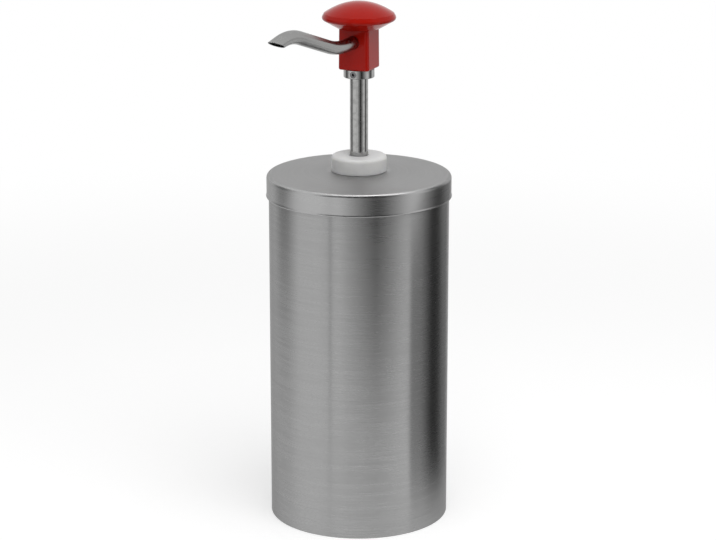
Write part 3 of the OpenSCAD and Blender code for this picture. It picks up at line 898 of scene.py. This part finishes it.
@dataclass
class Lid:
    """The push-over lid with the white nut that clamps the pump to it."""

    sheet: float = 0.0008
    edge_r: float = 0.003
    bead_d: float = 0.0016
    flare_h: float = 0.0014
    flare_steps: int = 8
    crown_seat_r: float = 0.026
    crown_rim_w: float = 0.00525
    crown_rise: float = 0.0026
    hole_r: float = 0.0174
    nut_edge_r: float = 0.0026
    nut_top_t: float = 0.003
    nut_hole_r: float = 0.00785
    nut_thread_r: float = 0.0171
    nut_chamfer: float = 0.0003
    nut_hole_steps: int = 5

    def crown(self, z: float, edge_r: float) -> list[Point]:
        """Points of the shallow crown, from its flat seat out to the flat rim.

        Args:
            z: height of the flat rim.
            edge_r: radius at which the lid's rounded edge begins.

        Returns:
            The points, both ends included.
        """
        foot_r = edge_r - self.crown_rim_w
        span = foot_r - self.crown_seat_r
        shares = [i / CURVE_STEPS for i in range(CURVE_STEPS + 1)]
        return [
            (self.crown_seat_r + span * s, z + self.crown_rise * (1 + math.cos(math.pi * s)) / 2)
            for s in shares
        ]

    def cover(self) -> None:
        """Turns the lid: crown, rounded edge, and a skirt that flares into a small bead."""
        bead_r = self.bead_d / 2
        bead_mid_r = high("lid").x - bead_r
        skirt_r = bead_mid_r + self.sheet / 2
        rim_z = high("lid").z - self.crown_rise
        edge = (skirt_r - self.edge_r, rim_z - self.edge_r)
        bead = (bead_mid_r, low("lid").z + bead_r)
        bead_start = math.degrees(math.acos(self.sheet / self.bead_d))
        outline = [(self.hole_r, high("lid").z), *self.crown(rim_z, edge[0])]
        outline += arc(edge, self.edge_r, 90, 0)
        bulge = bead_r - self.sheet / 2
        shares = [i / self.flare_steps for i in range(self.flare_steps)]
        outline += [(skirt_r + bulge * s * s, bead[1] + self.flare_h * (1 - s)) for s in shares]
        outline += arc(bead, bead_r, 0, -180 - bead_start, 2 * CORNER_STEPS)
        outline += arc(edge, self.edge_r - self.sheet, 0, 90)
        outline += reversed(self.crown(rim_z - self.sheet, edge[0]))
        outline += [(self.hole_r, high("lid").z - self.sheet), outline[0]]
        piece = turn(outline, LARGE_SIDES)
        shade(piece)
        settle(piece, "push_over_lid", Body.PUMP_LID, Slot.LID, "lid")

    def nut(self) -> None:
        """Turns the clamp nut, with soft edges and a chamfered hole for the rod."""
        nut_r = high("clamp_nut").x
        foot_z, top_z = low("clamp_nut").z, high("clamp_nut").z
        inside_z = top_z - self.nut_top_t
        chamfer = self.nut_chamfer
        outline = [(nut_r - chamfer, foot_z), (nut_r, foot_z + chamfer)]
        outline += arc((nut_r - self.nut_edge_r, top_z - self.nut_edge_r), self.nut_edge_r, 0, 90)
        hole_edge = (self.nut_hole_r + chamfer, top_z - chamfer)
        outline += arc(hole_edge, chamfer, 90, 180, self.nut_hole_steps)
        outline += [(self.nut_hole_r, inside_z), (self.nut_thread_r, inside_z)]
        outline += [(self.nut_thread_r, foot_z + chamfer), (self.nut_thread_r + chamfer, foot_z)]
        piece = turn([*outline, outline[0]], MIDDLE_SIDES)
        shade(piece)
        settle(piece, "nylon_nut", Body.PUMP_LID, Slot.NYLON, "clamp_nut")

    def build(self) -> None:
        """Builds the lid's pieces."""
        self.cover()
        self.nut()


@dataclass
class Plunger:
    """What the hand pushes: the hollow rod with its stop collar, the head and the knob."""

    rod_wall: float = 0.0015
    rod_chamfer: float = 0.0003
    collar_play: float = 0.00005
    collar_chamfer: float = 0.0004
    grub_play: float = 0.00005
    grub_socket_af: float = 0.0025
    grub_socket_depth: float = 0.0022
    grub_chamfer: float = 0.0003
    block_corner_r: float = 0.003
    block_edge_r: float = 0.0013
    block_draft: float = 0.00025
    block_top_edge_r: float = 0.0003
    block_top_steps: int = 3
    thread_play: float = 0.0001
    boss_r: float = 0.008
    passage_r: float = 0.0045
    rod_in_head: float = 0.014
    knob_rim_r: float = 0.0034
    knob_neck_r: float = 0.017
    knob_neck_edge_r: float = 0.0003
    neck_steps: int = 4
    band_lean: float = 28.0
    band_foot_r: float = 0.0024
    band_foot_steps: int = 20
    crease_r: float = 0.0008
    crease_steps: int = 8
    dome_slope: float = 33.9
    under_slope: float = 29.5
    cavity_h: float = 0.0085

    def rod(self) -> None:
        """Turns the hollow piston rod, chamfered at both ends."""
        r, cut = high("piston_rod").x, self.rod_chamfer
        foot_z, top_z = low("piston_rod").z, high("piston_rod").z
        inside_r = r - self.rod_wall
        outline = [(r - cut, foot_z), (r, foot_z + cut), (r, top_z - cut), (r - cut, top_z)]
        outline += [(inside_r, top_z), (inside_r, foot_z), outline[0]]
        piece = turn(outline, SMALL_SIDES)
        shade(piece)
        settle(piece, "hollow_rod", Body.PLUNGER, Slot.SATIN, "piston_rod")

    def collar(self) -> None:
        """Turns the stop collar, chamfers it and drills it for the grub screw."""
        r, cut = high("stop_collar").x, self.collar_chamfer
        foot_z, top_z = low("stop_collar").z, high("stop_collar").z
        inside_r = high("piston_rod").x + self.collar_play
        outline = [(inside_r, foot_z), (r - cut, foot_z), (r, foot_z + cut), (r, top_z - cut)]
        outline += [(r - cut, top_z), (inside_r, top_z), outline[0]]
        piece = turn(outline, SMALL_SIDES)
        drill_r = high("grub_screw").x + self.grub_play
        middle = Vector((0, -r / 2 - OVERRUN / 2, (foot_z + top_z) / 2))
        combine(piece, cylinder(drill_r, r + OVERRUN, middle, DRILL_SIDES, lying=True))
        shade(piece)
        settle(piece, "steel_collar", Body.PLUNGER, Slot.SATIN, "stop_collar")

    def grub_screw(self) -> None:
        """Makes the grub screw: a chamfered cylinder with a hexagon socket."""
        start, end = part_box("grub_screw")
        middle, length = (start + end) / 2, end.y - start.y
        piece = cylinder(end.x, length, middle, DRILL_SIDES, lying=True)
        with editing(piece):
            pick_edges(lambda a, b: max(a.y, b.y) < start.y + OVERRUN)
            bpy.ops.mesh.bevel(offset=self.grub_chamfer, segments=1, affect="EDGES")
        socket_r = self.grub_socket_af / math.sqrt(3)
        depth = self.grub_socket_depth + OVERRUN
        place = Vector((0, start.y - OVERRUN + depth / 2, middle.z))
        combine(piece, cylinder(socket_r, depth, place, HEXAGON_SIDES, lying=True))
        shade(piece)
        settle(piece, "socket_screw", Body.PLUNGER, Slot.SCREW, "grub_screw")

    def head(self) -> None:
        """Shapes the head from a cube: leaning sides, round corners, boss and bores."""
        half_w = high("head_block").x
        foot_z, top_z = low("head_block").z, low("push_knob").z
        height = top_z - foot_z
        middle_z = foot_z + height / 2
        piece = primitive(bpy.ops.mesh.primitive_cube_add, size=1, location=(0, 0, middle_z))
        piece.scale = (2 * half_w, 2 * half_w, height)
        fix_place()
        lean = (half_w - self.block_draft) / half_w
        with editing(piece):
            pick_edges(lambda a, b: min(a.z, b.z) > middle_z)
            bpy.ops.transform.resize(value=(lean, lean, 1), center_override=(0, 0, top_z))
            pick_edges(lambda a, b: abs(a.z - b.z) > height / 2)
            bpy.ops.mesh.bevel(offset=self.block_corner_r, segments=CORNER_STEPS, affect="EDGES")
            pick_edges(lambda a, b: max(a.z, b.z) < foot_z + WELD_REACH)
            bpy.ops.mesh.bevel(offset=self.block_edge_r, segments=CORNER_STEPS // 2, affect="EDGES")
            pick_edges(lambda a, b: min(a.z, b.z) > top_z - WELD_REACH)
            bpy.ops.mesh.bevel(
                offset=self.block_top_edge_r, segments=self.block_top_steps, affect="EDGES"
            )
        boss_top_z = high("head_block").z
        boss_mid = Vector((0, 0, (boss_top_z + top_z - OVERRUN) / 2))
        combine(piece, cylinder(self.boss_r, boss_top_z - top_z + OVERRUN, boss_mid), "UNION")
        self.bore_head(piece, foot_z)
        shade(piece)
        settle(piece, "square_head", Body.PLUNGER, Slot.RED, "head_block")

    def bore_head(self, piece: bpy.types.Object, foot_z: float) -> None:
        """Bores the head for the rod, the sauce and the spout.

        Args:
            piece: the head.
            foot_z: height of its lower face.
        """
        rod_r = high("piston_rod").x + self.thread_play
        rod_top_z = foot_z + self.rod_in_head
        bore = Vector((0, 0, (foot_z - OVERRUN + rod_top_z) / 2))
        combine(piece, cylinder(rod_r, self.rod_in_head + OVERRUN, bore))
        spout_z = (high("spout_seal").z + low("spout_seal").z) / 2
        passage_top = spout_z + self.passage_r
        passage = Vector((0, 0, (rod_top_z - OVERRUN + passage_top) / 2))
        combine(piece, cylinder(self.passage_r, passage_top - rod_top_z + OVERRUN, passage))
        spout_end_y = high("spout_tube").y
        outer_y = low("head_block").y - OVERRUN
        hole_r = Spout.radius + self.thread_play
        hole = Vector((0, (outer_y + spout_end_y) / 2, spout_z))
        combine(piece, cylinder(hole_r, spout_end_y - outer_y, hole, DRILL_SIDES, lying=True))
        outlet_r = Spout.radius - Spout.wall
        outlet = Vector((0, spout_end_y / 2, spout_z))
        combine(piece, cylinder(outlet_r, -spout_end_y + OVERRUN, outlet, DRILL_SIDES, lying=True))

    def knob(self) -> None:
        """Turns the mushroom knob: neck, hollow underside, conical band and dome."""
        foot_z = low("push_knob").z
        rim_mid_r = high("push_knob").x - self.knob_rim_r
        slope, under = math.radians(self.dome_slope), math.radians(self.under_slope)
        under_foot_r = rim_mid_r + self.knob_rim_r * math.sin(under)
        rim_z = foot_z + (under_foot_r - self.knob_neck_r) * math.tan(under)
        rim_z += self.knob_rim_r * math.cos(under)
        crease = (rim_mid_r + self.knob_rim_r * math.sin(slope), rim_z + self.knob_rim_r * math.cos(slope))
        lean = math.tan(math.radians(self.band_lean))
        reach = crease[0] + lean * (crease[1] - foot_z + self.knob_neck_r * math.tan(under))
        rim_r = reach / (1 + lean * math.tan(under))
        rim = (rim_r, foot_z + (rim_r - self.knob_neck_r) * math.tan(under))
        neck = (self.knob_neck_r, foot_z)
        dome_rise = crease[0] * math.tan(slope) / 2
        shares = [1 - i / (2 * CURVE_STEPS) for i in range(1, 2 * CURVE_STEPS + 1)]
        dome = [(crease[0] * s, crease[1] + dome_rise * (1 - s * s)) for s in shares]
        cavity_r, cavity_z = self.boss_r + self.thread_play, foot_z + self.cavity_h
        outline = [(0, cavity_z), (cavity_r, cavity_z), (cavity_r, foot_z)]
        outline += rounded(outline[-1], neck, rim, self.knob_neck_edge_r, self.neck_steps)
        outline += rounded(neck, rim, crease, self.band_foot_r, self.band_foot_steps)
        outline += rounded(rim, crease, dome[0], self.crease_r, self.crease_steps)
        piece = turn(outline + dome, LARGE_SIDES)
        shade(piece)
        settle(piece, "mushroom_knob", Body.PLUNGER, Slot.RED, "push_knob")

    def build(self) -> None:
        """Builds the plunger's pieces."""
        self.rod()
        self.collar()
        self.grub_screw()
        self.head()
        self.knob()


@dataclass
class Spout:
    """The bent spout, swept from the head: level, up, straight, down and cut off."""

    radius: float = 0.00525
    wall: float = 0.001
    level_len: float = 0.0128
    up_r: float = 0.128
    climb: float = 16.3
    climb_len: float = 0.0555
    down_r: float = 0.085
    drop: float = 8.6
    end_len: float = 0.0049
    cut_slope: float = 69.1
    in_head: float = 0.008
    tip_spare: float = 0.02
    lip_r: float = 0.0003
    lip_steps: int = 3
    sharp_angle: float = 40.0
    sides: int = 64
    bend_steps: int = 24

    def build(self) -> None:
        """Sweeps the outer skin, cuts its end and gives it its wall."""
        root_y = high("spout_tube").y
        z = (high("spout_seal").z + low("spout_seal").z) / 2
        climb, drop = math.radians(self.climb), math.radians(self.drop)
        along = Vector((0, -math.cos(climb), math.sin(climb)))
        across = Vector((0, math.sin(climb), math.cos(climb)))
        away = Vector((0, -math.cos(drop), -math.sin(drop)))
        level_end = Vector((0, root_y - self.in_head - self.level_len, z))
        up_centre = level_end + Vector((0, 0, self.up_r))
        down_start = up_centre - across * self.up_r + along * self.climb_len
        down_centre = down_start - across * self.down_r
        down_end = down_centre + Vector((0, -math.sin(drop), math.cos(drop))) * self.down_r
        cut_middle = down_end + away * self.end_len
        piece = primitive(
            bpy.ops.mesh.primitive_circle_add,
            vertices=self.sides,
            radius=self.radius,
            fill_type="NOTHING",
            location=(0, root_y, z),
            rotation=(math.pi / 2, 0, 0),
        )
        fix_place()
        with editing(piece):
            self.draw_out(Vector((0, level_end.y - root_y, 0)))
            self.spin(climb, up_centre)
            self.draw_out(along * self.climb_len)
            self.spin(-climb - drop, down_centre)
            self.draw_out(away * (self.end_len + self.tip_spare))
            self.cut_end(cut_middle)
            close_up()
        apply_modifier(piece, "SOLIDIFY", thickness=self.wall, offset=-1, use_even_offset=True)
        apply_modifier(
            piece,
            "BEVEL",
            width=self.lip_r,
            segments=self.lip_steps,
            limit_method="ANGLE",
            angle_limit=math.radians(self.sharp_angle),
        )
        shade(piece, self.sharp_angle)
        bends = [(level_end, up_centre, climb), (down_start, down_centre, -climb - drop)]
        self.place_grain(piece, self.middle_line(root_y, bends, cut_middle))
        settle(piece, "bent_spout", Body.PLUNGER, Slot.SATIN, "spout_tube")
        piece.data.materials[0] = BENT_TUBE.material()

    def middle_line(
        self, root_y: float, bends: list[tuple[Vector, Vector, float]], end: Vector
    ) -> list[Vector]:
        """Points of the tube's middle line.

        Args:
            root_y: where the tube starts in the head.
            bends: start, centre and angle of each bend.
            end: middle of the cut end.

        Returns:
            The points, close together in the bends.
        """
        line = [Vector((0, root_y, bends[0][0].z))]
        for start, centre, angle in bends:
            for step in range(self.bend_steps + 1):
                turned = Matrix.Rotation(-angle * step / self.bend_steps, 3, "X")
                line.append(centre + turned @ (start - centre))
        return [*line, end + (end - line[-1]).normalized() * self.radius]

    @staticmethod
    def place_grain(piece: bpy.types.Object, line: list[Vector]) -> None:
        """Notes for each point of the tube how far across, along and above the line it lies.

        Args:
            piece: the finished tube.
            line: points of its middle line.
        """
        note = piece.data.attributes.new(TUBE_PLACE, "FLOAT_VECTOR", "POINT")
        for vertex in piece.data.vertices:
            passed, best = 0.0, (math.inf, 0.0, 0.0)
            for start, end in zip(line, line[1:]):
                way = (end - start).normalized()
                along = min(max((vertex.co - start).dot(way), 0.0), (end - start).length)
                offset = vertex.co - start - way * along
                rise = offset.dot(Vector((0, way.z, -way.y)))
                best = min(best, (offset.length, passed + along, rise))
                passed += (end - start).length
            note.data[vertex.index].vector = (vertex.co.x, best[1], best[2])

    @staticmethod
    def draw_out(way: Vector) -> None:
        """Draws the selected ring out in a straight line."""
        bpy.ops.mesh.extrude_edges_move(TRANSFORM_OT_translate={"value": way})

    def spin(self, angle: float, centre: Vector) -> None:
        """Draws the selected ring round a bend.

        Args:
            angle: angle of the bend in radians, positive upwards.
            centre: centre of the bend.
        """
        bpy.ops.mesh.spin(steps=self.bend_steps, angle=angle, center=centre, axis=(1, 0, 0))

    def cut_end(self, middle: Vector) -> None:
        """Cuts the spare end off at a slant.

        Args:
            middle: point on the cut, on the tube's middle line.
        """
        slope = math.radians(self.cut_slope)
        outward = Vector((0, -math.cos(slope), -math.sin(slope)))
        bpy.ops.mesh.select_all(action="SELECT")
        bpy.ops.mesh.bisect(plane_co=middle, plane_no=outward, clear_outer=True, use_fill=False)


@dataclass
class ReturnSpring:
    """The return spring: round wire with one closed turn at each end."""

    wire_d: float = 0.0016
    active_turns: int = 9
    coil_gap: float = 0.0005
    pressed_len: float = 0.024
    turn_steps: int = 24
    wire_sides: int = 12
    sharp_angle: float = 50.0

    def build(self) -> None:
        """Winds the wire ring by ring and closes its ends."""
        start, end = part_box("return_spring")
        wire_r = self.wire_d / 2
        coil_r = end.x - wire_r
        length = end.z - start.z
        closed_pitch = self.wire_d + self.coil_gap
        pitch = (length - self.wire_d - 2 * closed_pitch) / self.active_turns
        rises = [closed_pitch, *[pitch] * self.active_turns, closed_pitch]
        piece = primitive(
            bpy.ops.mesh.primitive_circle_add,
            vertices=self.wire_sides,
            radius=wire_r,
            fill_type="NGON",
            location=(coil_r, 0, start.z + wire_r),
            rotation=(math.pi / 2, 0, 0),
        )
        fix_place()
        step_angle = 2 * math.pi / self.turn_steps
        with editing(piece):
            for rise in rises:
                for _ in range(self.turn_steps):
                    lift = {"value": (0, 0, rise / self.turn_steps)}
                    bpy.ops.mesh.extrude_region_move(TRANSFORM_OT_translate=lift)
                    bpy.ops.transform.rotate(value=-step_angle, orient_axis="Z", center_override=(0, 0, 0))
            close_up()
        shade(piece, self.sharp_angle)
        settle(piece, "coil_spring", Body.SPRING_SEAT, Slot.SPRING, "return_spring")
        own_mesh(piece)


@dataclass
class InnerPump:
    """The hidden pieces of the pump, which keep the frame's own shapes."""

    nodes: dict[Slot, tuple[str, ...]] = field(
        default_factory=lambda: {
            Slot.NYLON: ("guide_bush", "pump_cylinder", "foot_valve_body", "piston"),
            Slot.RUBBER: (
                "lid_gasket", "rod_wiper", "bush_seal", "foot_valve_seal",
                "piston_rings", "head_seal", "spout_seal",
            ),
            Slot.POLISHED: ("foot_valve_ball", "foot_ball_pin", "delivery_ball", "delivery_ball_pin"),
            Slot.SATIN: ("suction_tube", "spring_washer"),
        }
    )

    def build(self) -> None:
        """Gives each hidden piece its finish."""
        for slot, names in self.nodes.items():
            for name in names:
                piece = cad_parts[name]
                for place in piece.material_slots:
                    place.material = MATERIALS[slot]
                log.info("%s: dressed as %s", name, slot.value)


@dataclass(frozen=True)
class Card:
    """An upright studio card that only reflections see.

    Its bearing is in degrees to the right of the camera, seen from the object. The fades are
    the shares of its half width and of its height over which it thins out at the edges.
    """

    name: str
    bearing: float
    distance: float
    width: float
    height: float
    tone: float = 0.0
    cover: float = 1.0
    side_fade: float = 0.5
    top_fade: float = 0.2
    foot_z: float = 0.0
    foot_fade: float = 0.0
    corner_cut: float = 0.0


@dataclass(frozen=True)
class Overhead:
    """A level sheet of light over the object that only reflections see.

    It lies so far forward, towards the camera, and so far sideways, to the camera's right.
    """

    name: str
    forward: float
    sideways: float
    height: float
    width: float
    depth: float
    level: float
    fade: float


@dataclass(frozen=True)
class Lamp:
    """A square soft lamp that looks at the object.

    Its bearing is in degrees to the right of the camera, its elevation in degrees above the
    horizon, and its power in watts.
    """

    name: str
    bearing: float
    elevation: float
    distance: float
    size: float
    power: float


@dataclass
class Studio:
    """Floor, white surround, lamp, reflection cards and the camera."""

    azimuth: float = 22.8
    elevation: float = 15.6
    distance: float = 2.0
    lens: float = 124.1
    aim_z: float = 0.2042
    aim_left: float = 0.0008
    floor_r: float = 9.0
    floor_sides: int = 64
    floor_near_r: float = 0.4
    floor_far_r: float = 1.3
    floor_tone: float = 0.8
    floor_roughness: float = 0.9
    floor_lift: float = 0.44
    sky_level: float = 0.4
    cards: tuple[Card, ...] = (
        Card(
            "front_card", 19.5, 0.366, width=0.667, height=1.3, side_fade=1.0,
            foot_z=0.04, foot_fade=0.035,
        ),
        Card("upper_front_card", 0, 1.2, width=3.2, height=1.2, foot_z=0.7, side_fade=0.3, top_fade=0.1),
        Card(
            "near_right_card", 91.0, 0.1315, width=0.207, height=0.274, cover=0.574, side_fade=0.1,
            top_fade=0.02, corner_cut=0.05,
        ),
        Card("right_card", 91.2, 0.155, width=0.126, height=0.4, cover=0.85, side_fade=0.73, top_fade=0.1),
        Card(
            "left_card", -103.2, 0.675, width=0.626, height=0.7, cover=0.85, side_fade=0.775, top_fade=0.3,
            foot_z=0.04, foot_fade=0.125,
        ),
        Card("slim_left_card", -33.5, 0.4, width=0.031, height=0.5, cover=0.42, top_fade=0.3),
        Card("grey_backdrop", 180, 0.7, width=2.4, height=1.2, tone=0.96, side_fade=0.4, top_fade=0.3),
    )
    overheads: tuple[Overhead, ...] = (
        Overhead("soft_ceiling", 0.3, 0.2, 1.5, width=1.5, depth=1.5, level=1.1, fade=0.5),
        Overhead("strip_light", 0.12, 0.17, 1.45, width=1.25, depth=0.3, level=5.5, fade=0.1),
    )
    overhead_lamp: Lamp = Lamp("overhead_lamp", 20, 64, distance=1.6, size=1.4, power=15.0)

    def towards(self, bearing: float, elevation: float = 0.0) -> Vector:
        """Direction from the object.

        Args:
            bearing: degrees to the right of the camera, as the camera sees it.
            elevation: degrees above the horizon.

        Returns:
            The direction, one metre long.
        """
        a, e = math.radians(self.azimuth + bearing), math.radians(elevation)
        return Vector((math.sin(a) * math.cos(e), -math.cos(a) * math.cos(e), math.sin(e)))

    def seen_directly(self, board: Board) -> bpy.types.NodeSocket:
        """Tells the rays that see a surface from those that only light the object.

        Args:
            board: the material's or the world's board.

        Returns:
            One for camera, glossy and transmission rays, and otherwise nought.
        """
        rays = board.add("LightPath").outputs
        sharp = board.math("MAXIMUM", rays["Is Camera Ray"], rays["Is Glossy Ray"])
        return board.math("MAXIMUM", sharp, rays["Is Transmission Ray"])

    def floor(self) -> None:
        """Lays the pale floor, which fades into the white surround away from the object."""
        floor = primitive(
            bpy.ops.mesh.primitive_circle_add,
            vertices=self.floor_sides,
            radius=self.floor_r,
            fill_type="NGON",
        )
        floor.name = "floor"
        material, board, shader = new_material("pale_floor")
        material.cycles.emission_sampling = "NONE"
        shader.inputs["Base Color"].default_value = opaque((self.floor_tone,) * 3)
        shader.inputs["Roughness"].default_value = self.floor_roughness
        shader.inputs["Specular IOR Level"].default_value = 0.0
        shader.inputs["Emission Color"].default_value = WHITE
        seen = self.seen_directly(board)
        board.feed(shader.inputs["Emission Strength"], board.math("MULTIPLY", seen, self.floor_lift))
        reach = board.length(board.spot())
        far = board.math("MULTIPLY", board.spread(reach, self.floor_near_r, self.floor_far_r), seen)
        white = board.add("Emission", {"Color": WHITE, "Strength": 1.0}).outputs[0]
        mixed = board.add("MixShader", {0: far, 1: shader.outputs[0], 2: white}).outputs[0]
        board.feed(material.node_tree.nodes["Material Output"].inputs["Surface"], mixed)
        floor.data.materials.append(material)

    def surround(self) -> None:
        """Sets the world: white where it is seen, and a softer level where it only lights."""
        world = bpy.data.worlds.new("studio")
        bpy.context.scene.world = world
        world.use_nodes = True
        board = Board(world.node_tree)
        world.cycles.sampling_method = "NONE"
        background = world.node_tree.nodes["Background"]
        background.inputs["Color"].default_value = WHITE
        level = board.spread(self.seen_directly(board), 0.0, 1.0, self.sky_level, 1.0)
        board.feed(background.inputs["Strength"], level)

    def sheet(self, place: Vector, bearing: float, part: Card | Overhead, size: Point) -> bpy.types.Object:
        """Adds the flat sheet of a card, upright, or of an overhead light, level.

        Args:
            place: its middle.
            bearing: degrees to the right of the camera to which it is turned.
            part: the card or overhead light.
            size: its width, and its height or depth.

        Returns:
            The sheet, with its place and turn left on the object.
        """
        tilt = math.pi / 2 if isinstance(part, Card) else 0
        turned = math.radians(self.azimuth + bearing)
        plane = bpy.ops.mesh.primitive_plane_add
        sheet = primitive(plane, size=1, location=place, rotation=(tilt, 0, turned))
        sheet.name = part.name
        sheet.scale = (*size, 1)
        bpy.ops.object.transform_apply(location=False, rotation=False, scale=True)
        return sheet

    def card(self, card: Card) -> None:
        """Stands a card round the object.

        Args:
            card: the card to stand.
        """
        place = self.towards(card.bearing) * card.distance
        place.z = card.foot_z + card.height / 2
        sheet = self.sheet(place, card.bearing, card, (card.width, card.height))
        if card.corner_cut:
            self.cut_corner(sheet, card)
        board, output = self.sheet_material(sheet)
        spot = board.axes(board.spot())
        reach = board.math("DIVIDE", board.math("ABSOLUTE", spot[0]), card.width / 2)
        side = board.ramp(reach, 1.0, 1.0 - card.side_fade)
        top = board.ramp(spot[1], card.height / 2, card.height * (0.5 - card.top_fade))
        cover = board.math("MULTIPLY", board.math("MULTIPLY", side, top), card.cover)
        if card.foot_fade:
            foot = board.ramp(spot[1], -card.height / 2, card.height * (card.foot_fade - 0.5))
            cover = board.math("MULTIPLY", cover, foot)
        self.veil(board, output, cover, card.tone)

    def cut_corner(self, sheet: bpy.types.Object, card: Card) -> None:
        """Cuts the upper left corner off a card.

        Args:
            sheet: the card's mesh.
            card: its sizes.
        """
        corner = Vector((-card.width / 2 + card.corner_cut, card.height / 2, 0))
        outward = Vector((-1, 1, 0))
        with editing(sheet):
            bpy.ops.mesh.bisect(
                plane_co=sheet.matrix_world @ corner,
                plane_no=sheet.matrix_world.to_3x3() @ outward,
                clear_outer=True,
            )

    def overhead(self, overhead: Overhead) -> None:
        """Hangs a level sheet of light that edges and domes mirror.

        Args:
            overhead: the sheet to hang.
        """
        place = self.towards(0) * overhead.forward + self.towards(90) * overhead.sideways
        place.z = overhead.height
        sheet = self.sheet(place, 0, overhead, (overhead.width, overhead.depth))
        board, output = self.sheet_material(sheet)
        spot = board.axes(board.spot())
        across = board.math("DIVIDE", board.math("ABSOLUTE", spot[0]), overhead.width / 2)
        along = board.math("DIVIDE", board.math("ABSOLUTE", spot[1]), overhead.depth / 2)
        inner = 1.0 - overhead.fade
        cover = board.math("MULTIPLY", board.ramp(across, 1.0, inner), board.ramp(along, 1.0, inner))
        self.veil(board, output, cover, overhead.level)

    @staticmethod
    def veil(board: Board, output: bpy.types.NodeSocket, cover: Feed, level: float) -> None:
        """Mixes a sheet's own tone with what is behind it.

        Args:
            board: the board of its material.
            output: the material's surface socket.
            cover: how far the sheet hides what is behind it.
            level: how bright the sheet is.
        """
        glow = board.add("Emission", {"Strength": level}).outputs[0]
        clear = board.add("BsdfTransparent").outputs[0]
        board.feed(output, board.add("MixShader", {0: cover, 1: clear, 2: glow}).outputs[0])

    @staticmethod
    def sheet_material(sheet: bpy.types.Object) -> tuple[Board, bpy.types.NodeSocket]:
        """Starts the material of a sheet that only reflections see.

        Args:
            sheet: the card or overhead sheet.

        Returns:
            The board of its material, and the material's surface socket.
        """
        material = bpy.data.materials.new(sheet.name)
        material.use_nodes = True
        material.cycles.emission_sampling = "NONE"
        material.node_tree.nodes.clear()
        board = Board(material.node_tree)
        output = board.add("OutputMaterial").inputs["Surface"]
        sheet.data.materials.append(material)
        for kind in ("camera", "diffuse", "transmission", "volume_scatter", "shadow"):
            setattr(sheet, f"visible_{kind}", False)
        return board, output

    def lamp(self, lamp: Lamp) -> None:
        """Hangs a lamp, which no reflection shows.

        Args:
            lamp: the lamp to hang.
        """
        middle = Vector((0, 0, self.aim_z))
        place = middle + self.towards(lamp.bearing, lamp.elevation) * lamp.distance
        bpy.ops.object.light_add(type="AREA", location=place)
        light = bpy.context.active_object
        light.name = lamp.name
        light.data.size = lamp.size
        light.data.energy = lamp.power
        light.visible_glossy = False
        light.rotation_euler = (middle - place).to_track_quat("-Z", "Y").to_euler()

    def camera(self) -> None:
        """Sets the camera at the photograph's viewing angle."""
        middle = self.towards(-90) * self.aim_left
        middle.z = self.aim_z
        place = middle + self.towards(0, self.elevation) * self.distance
        bpy.ops.object.camera_add(location=place)
        camera = bpy.context.active_object
        camera.rotation_euler = (middle - place).to_track_quat("-Z", "Y").to_euler()
        camera.data.lens = self.lens
        bpy.context.scene.camera = camera

    def build(self) -> None:
        """Builds the whole studio."""
        self.floor()
        self.surround()
        for card in self.cards:
            self.card(card)
        for overhead in self.overheads:
            self.overhead(overhead)
        self.lamp(self.overhead_lamp)
        self.camera()
        bpy.context.scene.view_settings.view_transform = "Standard"
        log.info("studio: %d cards, %d overhead sheets and a lamp", len(self.cards), len(self.overheads))


MATERIALS = {slot: finish.material() for slot, finish in FINISHES.items()}


def main() -> None:
    """Builds the dispenser's sub-assemblies in order, then the studio round it."""
    logging.basicConfig(level=logging.INFO, format="%(message)s")
    for assembly in (Container(), Lid(), Plunger(), Spout(), ReturnSpring(), InnerPump(), Studio()):
        assembly.build()


if __name__ == "__main__":
    main()
